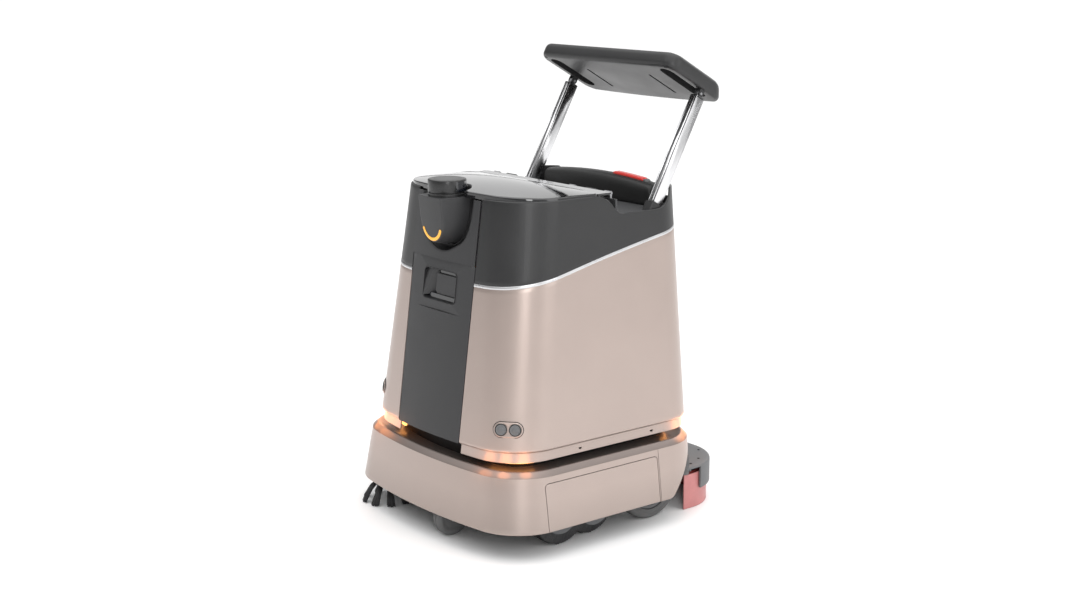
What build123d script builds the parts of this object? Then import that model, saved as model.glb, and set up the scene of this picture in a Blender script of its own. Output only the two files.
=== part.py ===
from build123d import *

import os
from math import cos, hypot, radians, sin

# Commercial floor scrubbing robot. Millimetres, +Z up, front towards -Y, the robot's left is +X.
# The origin is the centre of the machine's footprint, on the floor.

# ---------------------------------------------------------------- driving dimensions
# base: a skirt that flares outwards towards the floor, under a dished deck
BASE_LOW, BASE_HIGH = 74, 222
BASE_HALF_LOW, BASE_HALF_HIGH = 398, 378
BASE_FRONT_LOW, BASE_FRONT_HIGH = -441, -421
BASE_REAR = 312
BASE_CORNER, BASE_REAR_CORNER, BASE_BOW = 148, 145, 46
SKIRT_WALL = 4
RIM_TOP, RIM_INSET, DISH_FLOOR = 236, 14, 226
FENDER_SEAM = 117
HATCH_FRONT, HATCH_REAR, HATCH_HIGH = -286, 114, 205
HATCH_GAP = 2.5
CHASSIS_LOW = 216

# upper body: tapers towards the top and leans back at the front
BODY_LOW, BODY_HIGH = 280, 940
BODY_HALF_LOW, BODY_HALF_HIGH = 347, 295
BODY_FRONT_LOW, BODY_FRONT_HIGH = -405, -322
BODY_REAR_LOW, BODY_REAR_HIGH = 306, 290
BODY_CORNER, BODY_REAR_CORNER, BODY_BOW = 150, 105, 42
BODY_WALL, BODY_CHAMFER = 4, 6
LIP_LOW, LIP_INSET, LIP_WALL = 254, 9, 5
PEDESTAL_INSET, LEDGE_INSET = 46, 60
TRIM_LINE = [(-360, 705), (-310, 711), (-214, 728), (-46, 764), (102, 793), (234, 817)]
TRIM_WIDTH, TRIM_SLOPE = 8, 0.18
PANEL_HALF = 145
SEAM = 1.5

# lowered rear deck, lid and the pull-up console
TRAY_TOP, TRAY_FRONT = 880, 34
LID_REAR, LID_CROWN = 24, 17
HINGE_Y, HINGE_Z = 36, 936
POST_X, POST_FOOT_Y, POST_FOOT_Z = 276, 176, 881
POST_LEAN = 28.8
POST_WIDE, POST_DEEP, POST_REACH = 26, 32, 342
CONSOLE_HALF, CONSOLE_DEPTH, CONSOLE_THICK, CONSOLE_SHIFT = 288, 230, 45, -36
CONSOLE_TRAVEL = 200
TILT_DROP = 12

# turret
TURRET_Y, TURRET_R, TURRET_TOP = -322, 53, 980

# running gear
WHEEL_R, WHEEL_FACE, WHEEL_WIDE, WHEEL_Y = 100, 328, 50, 143
CASTER_R, CASTER_WIDE, CASTER_X, CASTER_Y, CASTER_TRAIL = 52, 38, 75, -360, 16
BRUSH_R, BRUSH_AXIS_Z, BRUSH_END, END_CAP_R, BRUSH_CORE_R = 89, 90, 330, 58, 25
FRONT_BRUSH_Y, REAR_BRUSH_Y = -190, -72
SIDE_BRUSH_X, SIDE_BRUSH_Y, SIDE_BRUSH_R = -275, -352, 77
SQUEEGEE_HALF, SQUEEGEE_REAR, SQUEEGEE_CORNER = 345, 441, 150
SQUEEGEE_PIVOT_Y, SQUEEGEE_PIVOT_Z = 262, 168
RUNNING = 0.05
FLOOR_GAP = 1.0
FAR = 520  # beyond every outside face

SIDES = {"left": 1, "right": -1}
PARTS = "parts"
os.makedirs(PARTS, exist_ok=True)


def write(builder, name):
    """Label a finished piece and write it as its own STEP file."""
    builder.part.label = name
    export_step(builder.part, f"{PARTS}/{name}.step")


# ---------------------------------------------------------------- shared shapes
def mix(a, b, t):
    return a + (b - a) * t


def outline(z, half, front, rear, front_corner, rear_corner, bow):
    """Plan outline at height z: a bowed front, straight sides and rear, round corners."""
    with BuildSketch(Plane.XY.offset(z)) as plan:
        with BuildLine():
            ThreePointArc((-half, front + bow), (0, front), (half, front + bow))
            Polyline((half, front + bow), (half, rear), (-half, rear), (-half, front + bow))
        make_face()
        fillet(plan.vertices().group_by(Axis.Y)[0], front_corner)
        fillet(plan.vertices().group_by(Axis.Y)[-1], rear_corner)
    return plan.sketch


def base_outline(z, inset=0.0):
    t = (z - BASE_LOW) / (BASE_HIGH - BASE_LOW)
    return outline(
        z,
        mix(BASE_HALF_LOW, BASE_HALF_HIGH, t) - inset,
        mix(BASE_FRONT_LOW, BASE_FRONT_HIGH, t) + inset,
        BASE_REAR - inset,
        BASE_CORNER - inset,
        BASE_REAR_CORNER - inset,
        BASE_BOW,
    )


def body_outline(z, inset=0.0):
    t = (z - BODY_LOW) / (BODY_HIGH - BODY_LOW)
    return outline(
        z,
        mix(BODY_HALF_LOW, BODY_HALF_HIGH, t) - inset,
        mix(BODY_FRONT_LOW, BODY_FRONT_HIGH, t) + inset,
        mix(BODY_REAR_LOW, BODY_REAR_HIGH, t) - inset,
        BODY_CORNER - inset,
        BODY_REAR_CORNER - inset,
        BODY_BOW,
    )


def block(plan, low, high, low_inset=0.0, high_inset=None):
    """Solid between two heights of a tapering plan."""
    if high_inset is None:
        high_inset = low_inset
    with BuildPart() as solid:
        loft(sections=[plan(low, low_inset), plan(high, high_inset)], ruled=True)
    return solid.part


def ring(plan, low, high, low_inset, high_inset, bore_inset):
    """Closed ring that follows a tapering plan, outside and bore."""
    with BuildPart() as solid:
        add(block(plan, low, high, low_inset, high_inset))
        add(block(plan, low - 1, high + 1, bore_inset), mode=Mode.SUBTRACT)
    return solid.part


def shell(plan, low, high, inset, wall):
    """Open-ended wall of constant thickness that follows a tapering plan."""
    return ring(plan, low, high, inset, inset, inset + wall)


def slab(x0, x1, y0, y1, z0, z1):
    """Plain box between six limits."""
    with BuildPart() as box:
        with Locations(((x0 + x1) / 2, (y0 + y1) / 2, (z0 + z1) / 2)):
            Box(x1 - x0, y1 - y0, z1 - z0)
    return box.part


def rod(start, end, radius, bore=0.0):
    """Round bar or tube from one point to another."""
    axis = Vector(*end) - Vector(*start)
    with BuildPart() as bar:
        with BuildSketch(Plane(start, z_dir=axis)):
            Circle(radius)
            if bore:
                Circle(bore, mode=Mode.SUBTRACT)
        extrude(amount=axis.length)
    return bar.part


def above_trim(rise):
    """Everything above the styling line, which is level in front and sweeps up to the rear."""
    points = [(y, z + rise) for y, z in TRIM_LINE]
    (first_y, first_z), (last_y, last_z) = points[0], points[-1]
    end_z = last_z + TRIM_SLOPE * (FAR - last_y)
    with BuildPart() as region:
        with BuildSketch(Plane.YZ):
            with BuildLine():
                Line((-FAR, first_z), (first_y, first_z))
                Spline(*points, tangents=[(1, 0), (1, TRIM_SLOPE)])
                Line((last_y, last_z), (FAR, end_z))
                Polyline((FAR, end_z), (FAR, 2 * FAR), (-FAR, 2 * FAR), (-FAR, first_z))
            make_face()
        extrude(amount=FAR, both=True)
    return region.part


def side_profile(points, start=-FAR, width=2 * FAR):
    """Prism across the machine from a closed outline in the side view."""
    with BuildPart() as prism:
        with BuildSketch(Plane.YZ.offset(start)):
            with BuildLine():
                Polyline(*points, close=True)
            make_face()
        extrude(amount=width)
    return prism.part


# ---------------------------------------------------------------- base
FENDER_CUT = [(150, 40), (164, 74), (190, 104), (247, 164), (287, 200), (330, 204), (330, 40)]
HATCH_X0, HATCH_X1 = 340, 420
DISH_SLOPE = 34

base_wall = shell(base_outline, BASE_LOW, BASE_HIGH, 0, SKIRT_WALL)

with BuildPart() as base_skirt:
    add(base_wall)
    add(slab(-FAR, FAR, FENDER_SEAM, FAR, 0, FAR), mode=Mode.SUBTRACT)
    for side in SIDES.values():
        x_limits = sorted((side * HATCH_X0, side * HATCH_X1))
        add(slab(*x_limits, HATCH_FRONT, HATCH_REAR, 0, HATCH_HIGH), mode=Mode.SUBTRACT)
write(base_skirt, "base_skirt")

for name, side in SIDES.items():
    with BuildPart() as fender:
        add(base_wall)
        x_limits = sorted((side * SEAM / 2, side * FAR))
        add(slab(*x_limits, FENDER_SEAM + SEAM, FAR, 0, FAR), mode=Mode.INTERSECT)
        add(side_profile(FENDER_CUT), mode=Mode.SUBTRACT)
    write(fender, f"rear_fender_{name}")

with BuildPart() as base_deck:
    add(block(base_outline, BASE_HIGH, RIM_TOP, 0, RIM_INSET))
    dish = block(base_outline, DISH_FLOOR, RIM_TOP + 1, RIM_INSET + DISH_SLOPE, RIM_INSET + 1)
    add(dish, mode=Mode.SUBTRACT)
write(base_deck, "base_deck")

# Side hatches. Each swings on a pin that lies along the slanted front edge of its opening.
PIN_R, PIN_INSET, PIN_BACK = 1.5, 5.9, 6.0
PIN_LOW, PIN_HIGH = 84, 203
LUG_HEIGHTS, LUG_TALL, LUG_RADIUS = (96, 182), 10, 3.9


def on_hatch_axis(side, z):
    """Point on a hatch's pin at height z."""
    t = (z - BASE_LOW) / (BASE_HIGH - BASE_LOW)
    half = mix(BASE_HALF_LOW, BASE_HALF_HIGH, t)
    return (side * (half - PIN_INSET), HATCH_FRONT + HATCH_GAP + PIN_BACK, z)


for name, side in SIDES.items():
    with BuildPart() as hatch:
        add(base_wall)
        x_limits = sorted((side * HATCH_X0, side * HATCH_X1))
        y_limits = (HATCH_FRONT + HATCH_GAP, HATCH_REAR - HATCH_GAP)
        add(slab(*x_limits, *y_limits, 0, HATCH_HIGH - HATCH_GAP), mode=Mode.INTERSECT)
        for z in LUG_HEIGHTS:
            add(rod(on_hatch_axis(side, z), on_hatch_axis(side, z + LUG_TALL), LUG_RADIUS))
        bore_ends = (on_hatch_axis(side, PIN_LOW - 14), on_hatch_axis(side, PIN_HIGH + 12))
        pin_bore = rod(*bore_ends, PIN_R + RUNNING)
        add(pin_bore, mode=Mode.SUBTRACT)
    write(hatch, f"side_hatch_{name}")

with BuildPart() as hatch_pins:
    for side in SIDES.values():
        add(rod(on_hatch_axis(side, PIN_LOW), on_hatch_axis(side, PIN_HIGH), PIN_R))
write(hatch_pins, "hatch_pins")

# ---------------------------------------------------------------- waist
pedestal_block = block(body_outline, DISH_FLOOR, BODY_LOW, PEDESTAL_INSET + 20, PEDESTAL_INSET)

with BuildPart() as waist_pedestal:
    add(pedestal_block)
    add(block(body_outline, DISH_FLOOR - 1, BODY_LOW + 1, LEDGE_INSET + 30), mode=Mode.SUBTRACT)
write(waist_pedestal, "waist_pedestal")

LIGHT_LOW, LIGHT_HIGH, LIGHT_DEEP = 238, 250, 6
DARK_HALF, DARK_FRONT, DARK_REAR = 205, -255, 205

with BuildPart() as corner_lights:
    add(shell(body_outline, LIGHT_LOW, LIGHT_HIGH, PEDESTAL_INSET + 8, LIGHT_DEEP))
    add(pedestal_block, mode=Mode.SUBTRACT)
    add(slab(-DARK_HALF, DARK_HALF, -FAR, FAR, 0, FAR), mode=Mode.SUBTRACT)
    add(slab(-FAR, FAR, DARK_FRONT, DARK_REAR, 0, FAR), mode=Mode.SUBTRACT)
write(corner_lights, "corner_lights")

# ---------------------------------------------------------------- upper body
PANEL_BACK = -220  # how far back cuts for the front panel reach
front_slot = slab(-PANEL_HALF - SEAM, PANEL_HALF + SEAM, -FAR, PANEL_BACK, LIP_LOW - 5, 1000)


BEZEL_Z, BEZEL_TURN, BEZEL_TIP = 345, radians(-47), 0.1
BEZEL_LONG, BEZEL_TALL, SENSOR_R, SENSOR_PITCH = 80, 41, 13.5, 38
DRAIN_YS, DRAIN_Z, DRAIN_R, DRAIN_FLAT = (-132, 128), 268, 6, 2


def bezel_plane(side, depth=0.0):
    """Plane facing outwards on the front corner where an ultrasonic pair sits, or behind it."""
    t = (BEZEL_Z - BODY_LOW) / (BODY_HIGH - BODY_LOW)
    half = mix(BODY_HALF_LOW, BODY_HALF_HIGH, t)
    front = mix(BODY_FRONT_LOW, BODY_FRONT_HIGH, t) + BODY_BOW * ((half - BODY_CORNER) / half) ** 2
    across, ahead = cos(BEZEL_TURN), sin(BEZEL_TURN)
    place = (
        side * (half - BODY_CORNER + BODY_CORNER * across),
        front + BODY_CORNER + BODY_CORNER * ahead,
        BEZEL_Z,
    )
    face = Plane(place, x_dir=(-ahead, side * across, 0), z_dir=(side * across, ahead, BEZEL_TIP))
    return face.offset(depth)


def pill(side, depth, thickness, length, height):
    """Flat-sided oval plate for a sensor pair."""
    with BuildPart() as solid:
        with BuildSketch(bezel_plane(side, depth)):
            SlotOverall(length, height)
        extrude(amount=thickness)
    return solid.part


def sensor_pair(side, depth, length, radius):
    """Two round bars side by side, square to the bezel."""
    with BuildPart() as pair:
        with BuildSketch(bezel_plane(side, depth)):
            with GridLocations(SENSOR_PITCH, 0, 2, 1):
                Circle(radius)
        extrude(amount=length)
    return pair.part


def drain_hole(side, y):
    """D-shaped cutter through the lip, flat side up."""
    with BuildPart() as hole:
        with BuildSketch(Plane((side * FAR, y, DRAIN_Z), x_dir=(0, -side, 0), z_dir=(-side, 0, 0))):
            Circle(DRAIN_R)
            with Locations((0, DRAIN_FLAT + DRAIN_R)):
                Rectangle(3 * DRAIN_R, 2 * DRAIN_R, mode=Mode.SUBTRACT)
        extrude(amount=FAR - 270)
    return hole.part

with BuildPart() as lower_shell:
    add(shell(body_outline, BODY_LOW + BODY_CHAMFER, TRAY_TOP, 0, BODY_WALL))
    add(above_trim(0), mode=Mode.SUBTRACT)
    add(ring(body_outline, BODY_LOW, BODY_LOW + BODY_CHAMFER, BODY_CHAMFER, 0, LEDGE_INSET))
    add(shell(body_outline, LIP_LOW, BODY_LOW, LIP_INSET, LIP_WALL))
    add(front_slot, mode=Mode.SUBTRACT)
    for side in SIDES.values():
        add(pill(side, -10, 30, BEZEL_LONG + 0.4, BEZEL_TALL + 0.4), mode=Mode.SUBTRACT)
        for y in DRAIN_YS:
            add(drain_hole(side, y), mode=Mode.SUBTRACT)
write(lower_shell, "lower_shell")

TRIM_FLOOR, TRIM_PROUD = 690, 1.0

with BuildPart() as trim_strip:
    add(shell(body_outline, TRIM_FLOOR, TRAY_TOP, -TRIM_PROUD, BODY_WALL))
    add(above_trim(0.0), mode=Mode.INTERSECT)
    add(above_trim(TRIM_WIDTH), mode=Mode.SUBTRACT)
    add(front_slot, mode=Mode.SUBTRACT)
write(trim_strip, "trim_strip")

NOTCH = [(-32, 960), (-24, 938), (-2, 926), (14, 898), (36, 883), (186, 886), (206, 893), (230, 914), (240, 960)]
REAR_DIP_HALF, REAR_DIP_Z = 236, 902

with BuildPart() as upper_cover:
    add(shell(body_outline, TRIM_FLOOR, BODY_HIGH, 0, BODY_WALL))
    add(above_trim(TRIM_WIDTH), mode=Mode.INTERSECT)
    add(side_profile(NOTCH), mode=Mode.SUBTRACT)
    add(front_slot, mode=Mode.SUBTRACT)
    add(slab(-REAR_DIP_HALF, REAR_DIP_HALF, 250, FAR, REAR_DIP_Z, 960), mode=Mode.SUBTRACT)
write(upper_cover, "upper_cover")

CAMERA_HALF, CAMERA_LOW, CAMERA_HIGH, CAMERA_DEEP = 76, 645, 732, 42
NOSE_LOW, NOSE_TOP = 800, 934

with BuildPart() as front_panel:
    add(shell(body_outline, BODY_LOW + 2, NOSE_TOP, 0.5, BODY_WALL + 2))
    add(slab(-PANEL_HALF, PANEL_HALF, -FAR, PANEL_BACK, 0, 1000), mode=Mode.INTERSECT)
    add(slab(-CAMERA_HALF, CAMERA_HALF, -FAR, PANEL_BACK, CAMERA_LOW, CAMERA_HIGH), mode=Mode.SUBTRACT)
write(front_panel, "front_panel")


# ---------------------------------------------------------------- depth camera
def front_y(z):
    """The body's foremost line at height z."""
    return mix(BODY_FRONT_LOW, BODY_FRONT_HIGH, (z - BODY_LOW) / (BODY_HIGH - BODY_LOW))


CAMERA_BACK, CAMERA_WALL = front_y(CAMERA_LOW) + CAMERA_DEEP, 6
WINDOW_X, WINDOW_Z, WINDOW_WIDE, WINDOW_TALL = 58, 688, 18, 40

with BuildPart() as camera_housing:
    half, low, high = CAMERA_HALF - 0.5, CAMERA_LOW + 0.5, CAMERA_HIGH - 0.5
    floor_y = CAMERA_BACK - 8
    add(slab(-half, half, -FAR, CAMERA_BACK, low, high))
    add(block(body_outline, CAMERA_LOW - 45, CAMERA_HIGH + 68, 3), mode=Mode.INTERSECT)
    half, low, high = CAMERA_HALF - CAMERA_WALL, CAMERA_LOW + CAMERA_WALL, CAMERA_HIGH - CAMERA_WALL
    add(slab(-half, half, -FAR, floor_y, low, high), mode=Mode.SUBTRACT)
    add(slab(-40, 40, front_y(WINDOW_Z) + 8, floor_y, WINDOW_Z - 12, WINDOW_Z + 12))
write(camera_housing, "camera_housing")

with BuildPart() as camera_windows:
    with Locations((-WINDOW_X, CAMERA_BACK - 9.5, WINDOW_Z), (WINDOW_X, CAMERA_BACK - 9.5, WINDOW_Z)):
        Box(WINDOW_WIDE, 3, WINDOW_TALL)
write(camera_windows, "camera_windows")

# ---------------------------------------------------------------- ultrasonic sensors
with BuildPart() as sonar_bezels:
    for side in SIDES.values():
        add(pill(side, -7, 9.5, BEZEL_LONG, BEZEL_TALL))
        add(sensor_pair(side, -9, 30, SENSOR_R + 0.3), mode=Mode.SUBTRACT)
write(sonar_bezels, "sonar_bezels")

with BuildPart() as sonar_sensors:
    for side in SIDES.values():
        add(sensor_pair(side, -26, 27, SENSOR_R))
write(sonar_sensors, "sonar_sensors")

# ---------------------------------------------------------------- lidar turret on its nose
NOSE_SECTIONS = [(NOSE_LOW, 28, -338), (860, 46, -330), (NOSE_TOP, 60, TURRET_Y)]
NOSE_REACH = 38
SMILE_Z, SMILE_R, SMILE_WIDE, SMILE_PROUD, SMILE_BACK = 856, 31, 4, 1.5, -352


def nose_section(z, radius, y):
    """U-shaped section of the nose: round in front, running back into the panel."""
    with BuildSketch(Plane.XY.offset(z)) as section:
        with BuildLine():
            CenterArc((0, y), radius, 180, 180)
            Polyline((radius, y), (radius, y + NOSE_REACH), (-radius, y + NOSE_REACH), (-radius, y))
        make_face()
    return section.sketch


def nose(grow=0.0):
    """The whole nose, or one a little larger all round."""
    with BuildPart() as solid:
        loft(sections=[nose_section(z, radius + grow, y) for z, radius, y in NOSE_SECTIONS], ruled=True)
    return solid.part


with BuildPart() as turret_nose:
    add(nose())
    add(block(body_outline, NOSE_LOW - 10, BODY_HIGH + 5, 0.2), mode=Mode.SUBTRACT)
write(turret_nose, "turret_nose")

with BuildPart() as smile_light:
    with BuildSketch(Plane.XZ.offset(-SMILE_BACK)):
        with BuildLine():
            CenterArc((0, SMILE_Z), SMILE_R, 205, 130)
            offset(amount=SMILE_WIDE, side=Side.BOTH)
        make_face()
    extrude(amount=40)
    add(turret_nose.part, mode=Mode.SUBTRACT)
    add(nose(SMILE_PROUD), mode=Mode.INTERSECT)
write(smile_light, "smile_light")

ROTOR_LOW, ROTOR_HIGH, ROTOR_R, SPINDLE_R, HOOD_WALL = 948, 966, 44, 6, 4

with BuildPart() as turret_base:
    add(rod((0, TURRET_Y, NOSE_TOP), (0, TURRET_Y, NOSE_TOP + 10), TURRET_R))
    add(rod((0, TURRET_Y, NOSE_TOP), (0, TURRET_Y, ROTOR_HIGH + 3), SPINDLE_R))
write(turret_base, "turret_base")

with BuildPart() as turret_rotor:
    add(rod((0, TURRET_Y, ROTOR_LOW), (0, TURRET_Y, ROTOR_HIGH), ROTOR_R, SPINDLE_R + RUNNING))
write(turret_rotor, "turret_rotor")

with BuildPart() as turret_hood:
    add(rod((0, TURRET_Y, NOSE_TOP + 10), (0, TURRET_Y, TURRET_TOP), TURRET_R))
    fillet(turret_hood.edges().group_by(Axis.Z)[-1], 3)
    cavity = rod((0, TURRET_Y, NOSE_TOP + 9), (0, TURRET_Y, TURRET_TOP - 8), TURRET_R - HOOD_WALL)
    add(cavity, mode=Mode.SUBTRACT)
write(turret_hood, "turret_hood")

# ---------------------------------------------------------------- the console's posts
along = Vector(0, sin(radians(POST_LEAN)), cos(radians(POST_LEAN)))


def on_post(side, travel):
    """Point on a post's axis, measured from where it leaves the rear deck."""
    foot = Vector(side * POST_X, POST_FOOT_Y, POST_FOOT_Z) + along * travel
    return (foot.X, foot.Y, foot.Z)


def post_plane(side, travel):
    return Plane(on_post(side, travel), x_dir=(1, 0, 0), z_dir=along)


def post_bar(side, start, end, wide, deep, radius=3.0):
    with BuildPart() as bar:
        with BuildSketch(post_plane(side, start)):
            RectangleRounded(wide, deep, radius)
        extrude(amount=end - start)
    return bar.part


SLEEVE_START, SLEEVE_END, SLEEVE_WALL, SLEEVE_PLAY, POST_ENGAGED = -272, 12, 2, 0.4, -60


def collar(side):
    """Moulded collar round a post, standing on the rear deck."""
    with BuildPart() as solid:
        add(post_bar(side, -40, SLEEVE_END + 4, POST_WIDE + 7, POST_DEEP + 12, 5))
        add(slab(-FAR, FAR, 0, FAR, 700, TRAY_TOP), mode=Mode.SUBTRACT)
    return solid.part


with BuildPart() as post_sleeves:
    for side in SIDES.values():
        wide, deep = POST_WIDE + 2 * SLEEVE_PLAY, POST_DEEP + 2 * SLEEVE_PLAY
        add(post_bar(side, SLEEVE_START, SLEEVE_END, wide + 2 * SLEEVE_WALL, deep + 2 * SLEEVE_WALL))
        add(collar(side))
        add(post_bar(side, SLEEVE_START - 1, SLEEVE_END + 8, wide, deep), mode=Mode.SUBTRACT)
write(post_sleeves, "post_sleeves")

# ---------------------------------------------------------------- rear deck, roll and stop bar
RISER_TOP, RISER_DEEP, RISER_HALF = 922, 6, 284
PLINTH = [(-225, 42), (225, 42), (150, 150), (-150, 150)]


def raised_plinth():
    """Low trapezoid with sloping sides in the middle of the rear deck."""
    with BuildPart() as solid:
        with BuildSketch(Plane.XY.offset(TRAY_TOP)):
            with BuildLine():
                Polyline(*PLINTH, close=True)
            make_face()
        extrude(amount=7, taper=20)
    return solid.part


with BuildPart() as rear_tray:
    add(block(body_outline, TRAY_TOP - 8, TRAY_TOP, BODY_WALL + 0.5))
    add(slab(-FAR, FAR, -FAR, TRAY_FRONT, 800, 1000), mode=Mode.SUBTRACT)
    add(slab(-RISER_HALF, RISER_HALF, TRAY_FRONT, TRAY_FRONT + RISER_DEEP, TRAY_TOP - 8, RISER_TOP))
    add(raised_plinth())
    for side in SIDES.values():
        add(post_bar(side, -60, 40, POST_WIDE + 6, POST_DEEP + 6), mode=Mode.SUBTRACT)
write(rear_tray, "rear_tray")

ROLL_HALF, ROLL_Y, ROLL_DEEP, ROLL_END_Z, ROLL_BOW, ROLL_ROUND = 238, 228, 60, 940, 14, 22
STOP_X0, STOP_X1, STOP_WIDE, STOP_LOW, STOP_HIGH, STOP_SLOT_Z = 55, 195, 24, 939, 962, 934

with BuildPart() as handle_roll:
    with BuildSketch(Plane.XZ.offset(-ROLL_Y)):
        with BuildLine():
            left, right = (-ROLL_HALF, ROLL_END_Z), (ROLL_HALF, ROLL_END_Z)
            Polyline(right, (ROLL_HALF, TRAY_TOP), (-ROLL_HALF, TRAY_TOP), left)
            ThreePointArc(left, (0, ROLL_END_Z + ROLL_BOW), right)
        make_face()
    extrude(amount=ROLL_DEEP / 2, both=True)
    fillet(handle_roll.faces().sort_by(Axis.Z)[-1].edges().filter_by(GeomType.CIRCLE), ROLL_ROUND)
    reach = STOP_WIDE / 2 + 1
    slot = slab(STOP_X0 - 1, STOP_X1 + 1, ROLL_Y - reach, ROLL_Y + reach, STOP_SLOT_Z, 990)
    add(slot, mode=Mode.SUBTRACT)
write(handle_roll, "handle_roll")

with BuildPart() as stop_bar:
    add(slab(STOP_X0, STOP_X1, ROLL_Y - STOP_WIDE / 2, ROLL_Y + STOP_WIDE / 2, STOP_LOW, STOP_HIGH))
    fillet(stop_bar.faces().sort_by(Axis.Z)[-1].edges(), 4)
write(stop_bar, "stop_bar")

# ---------------------------------------------------------------- lid over the tanks
CROWN_REACH, CROWN_Y, LID_GAP, LID_WALL, TURRET_GROOVE = 300, -135, 5.5, 5, 13
KNUCKLES, KNUCKLE_R, KNUCKLE_HALF = (-180, 180), 6, 22
BRACKETS, BRACKET_HALF, LID_PIN_HALF, LID_PIN_R = (-250, -100, 100, 250), 12, 262, 3


def lid_dome(inset, drop):
    """Top of the body's plan under a big sphere, inset and lowered as asked."""
    radius = (CROWN_REACH**2 + LID_CROWN**2) / (2 * LID_CROWN)
    with BuildPart() as solid:
        add(block(body_outline, NOSE_TOP + 2, TURRET_TOP + 10, inset))
        add(slab(-FAR, FAR, LID_REAR - inset, FAR, 800, 1100), mode=Mode.SUBTRACT)
        with Locations((0, CROWN_Y, BODY_HIGH + 6 + LID_CROWN - radius - drop)):
            Sphere(radius, mode=Mode.INTERSECT)
    return solid.part


def on_hinge(x, half, radius):
    """Round bar along the lid's hinge line."""
    return rod((x - half, HINGE_Y, HINGE_Z), (x + half, HINGE_Y, HINGE_Z), radius)


with BuildPart() as lid:
    add(lid_dome(LID_GAP, 0))
    add(lid_dome(LID_GAP + LID_WALL, LID_WALL), mode=Mode.SUBTRACT)
    add(rod((0, TURRET_Y, 900), (0, TURRET_Y, 1000), TURRET_R + TURRET_GROOVE), mode=Mode.SUBTRACT)
    for x in KNUCKLES:
        add(on_hinge(x, KNUCKLE_HALF, KNUCKLE_R))
        add(slab(x - KNUCKLE_HALF, x + KNUCKLE_HALF, LID_REAR - 12, HINGE_Y, HINGE_Z, HINGE_Z + 5))
    add(on_hinge(0, LID_PIN_HALF + 38, LID_PIN_R + RUNNING), mode=Mode.SUBTRACT)
write(lid, "lid")

with BuildPart() as lid_hinge_bar:
    add(on_hinge(0, LID_PIN_HALF, LID_PIN_R))
    for x in BRACKETS:
        add(on_hinge(x, BRACKET_HALF, KNUCKLE_R))
        add(slab(x - BRACKET_HALF, x + BRACKET_HALF, TRAY_FRONT, TRAY_FRONT + RISER_DEEP, RISER_TOP, HINGE_Z))
write(lid_hinge_bar, "lid_hinge_bar")

# ---------------------------------------------------------------- console
UNDERSIDE = POST_REACH + 22
PIVOT = UNDERSIDE - TILT_DROP
CONSOLE_SPLIT, SCREEN_DEEP, SCREEN_MARGIN, SCREEN_CORNER = 14, 2.5, 28, 34
console_centre = Vector(0, POST_FOOT_Y, POST_FOOT_Z) + along * UNDERSIDE
console_plane = Plane((0, console_centre.Y, console_centre.Z), x_dir=(1, 0, 0), z_dir=along)


def console_layer(low, high, grow=0.0, corner=42):
    """Rounded plate in the console's own tilted plane, between two depths."""
    with BuildPart() as plate:
        with BuildSketch(console_plane.offset(low)):
            with Locations((0, CONSOLE_SHIFT)):
                RectangleRounded(2 * CONSOLE_HALF + 2 * grow, CONSOLE_DEPTH + 2 * grow, corner + grow)
        extrude(amount=high - low)
    return plate.part


with BuildPart() as console_case:
    add(console_layer(CONSOLE_SPLIT, CONSOLE_THICK))
    fillet(console_case.edges().group_by(Axis((0, 0, 0), tuple(along)))[-1], 9)
    screen_low = CONSOLE_THICK - SCREEN_DEEP
    add(console_layer(screen_low, CONSOLE_THICK + 1, -SCREEN_MARGIN, SCREEN_CORNER), mode=Mode.SUBTRACT)
write(console_case, "console_case")

with BuildPart() as console_screen:
    add(console_layer(screen_low, CONSOLE_THICK - 0.5, -SCREEN_MARGIN - 0.4, SCREEN_CORNER))
write(console_screen, "console_screen")

LUG_WIDE, CHEEK_WIDE, CHEEK_GAP, TILT_PIN_R, LUG_R = 10, 5, 0.4, 4, 9


def along_post_x(side, x_low, x_high, travel, radius, bore=0.0):
    """Round piece across a post at a distance along it."""
    _, y, z = on_post(side, travel)
    return rod((side * POST_X + x_low, y, z), (side * POST_X + x_high, y, z), radius, bore)


with BuildPart() as posts:
    for side in SIDES.values():
        add(post_bar(side, POST_ENGAGED, POST_REACH, POST_WIDE, POST_DEEP))
        hollow = post_bar(side, POST_ENGAGED - 1, POST_REACH - 6, POST_WIDE - 4, POST_DEEP - 4, 1.5)
        add(hollow, mode=Mode.SUBTRACT)
        add(post_bar(side, POST_REACH, PIVOT, LUG_WIDE, 2 * LUG_R, 0.5))
        add(along_post_x(side, -LUG_WIDE / 2, LUG_WIDE / 2, PIVOT, LUG_R))
        add(along_post_x(side, -40, 40, PIVOT, TILT_PIN_R + RUNNING), mode=Mode.SUBTRACT)
write(posts, "posts")

SLOT_X, SLOT_LONG, SLOT_WIDE, SLOT_DEEP = 136, 104, 7, 5


def underside_slots():
    """Two long shallow slots in the console's underside."""
    with BuildPart() as slots:
        with BuildSketch(console_plane):
            with Locations((-SLOT_X, CONSOLE_SHIFT), (SLOT_X, CONSOLE_SHIFT)):
                SlotOverall(SLOT_LONG, SLOT_WIDE, rotation=90)
        extrude(amount=SLOT_DEEP)
    return slots.part


def cheek(side, low, high):
    """Web that carries one end of a tilt pin, up to the console's underside."""
    with BuildPart() as web:
        with BuildSketch(post_plane(side, PIVOT)):
            with Locations(((low + high) / 2, 0)):
                Rectangle(high - low, 2 * LUG_R)
        extrude(amount=TILT_DROP)
    return web.part


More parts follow.
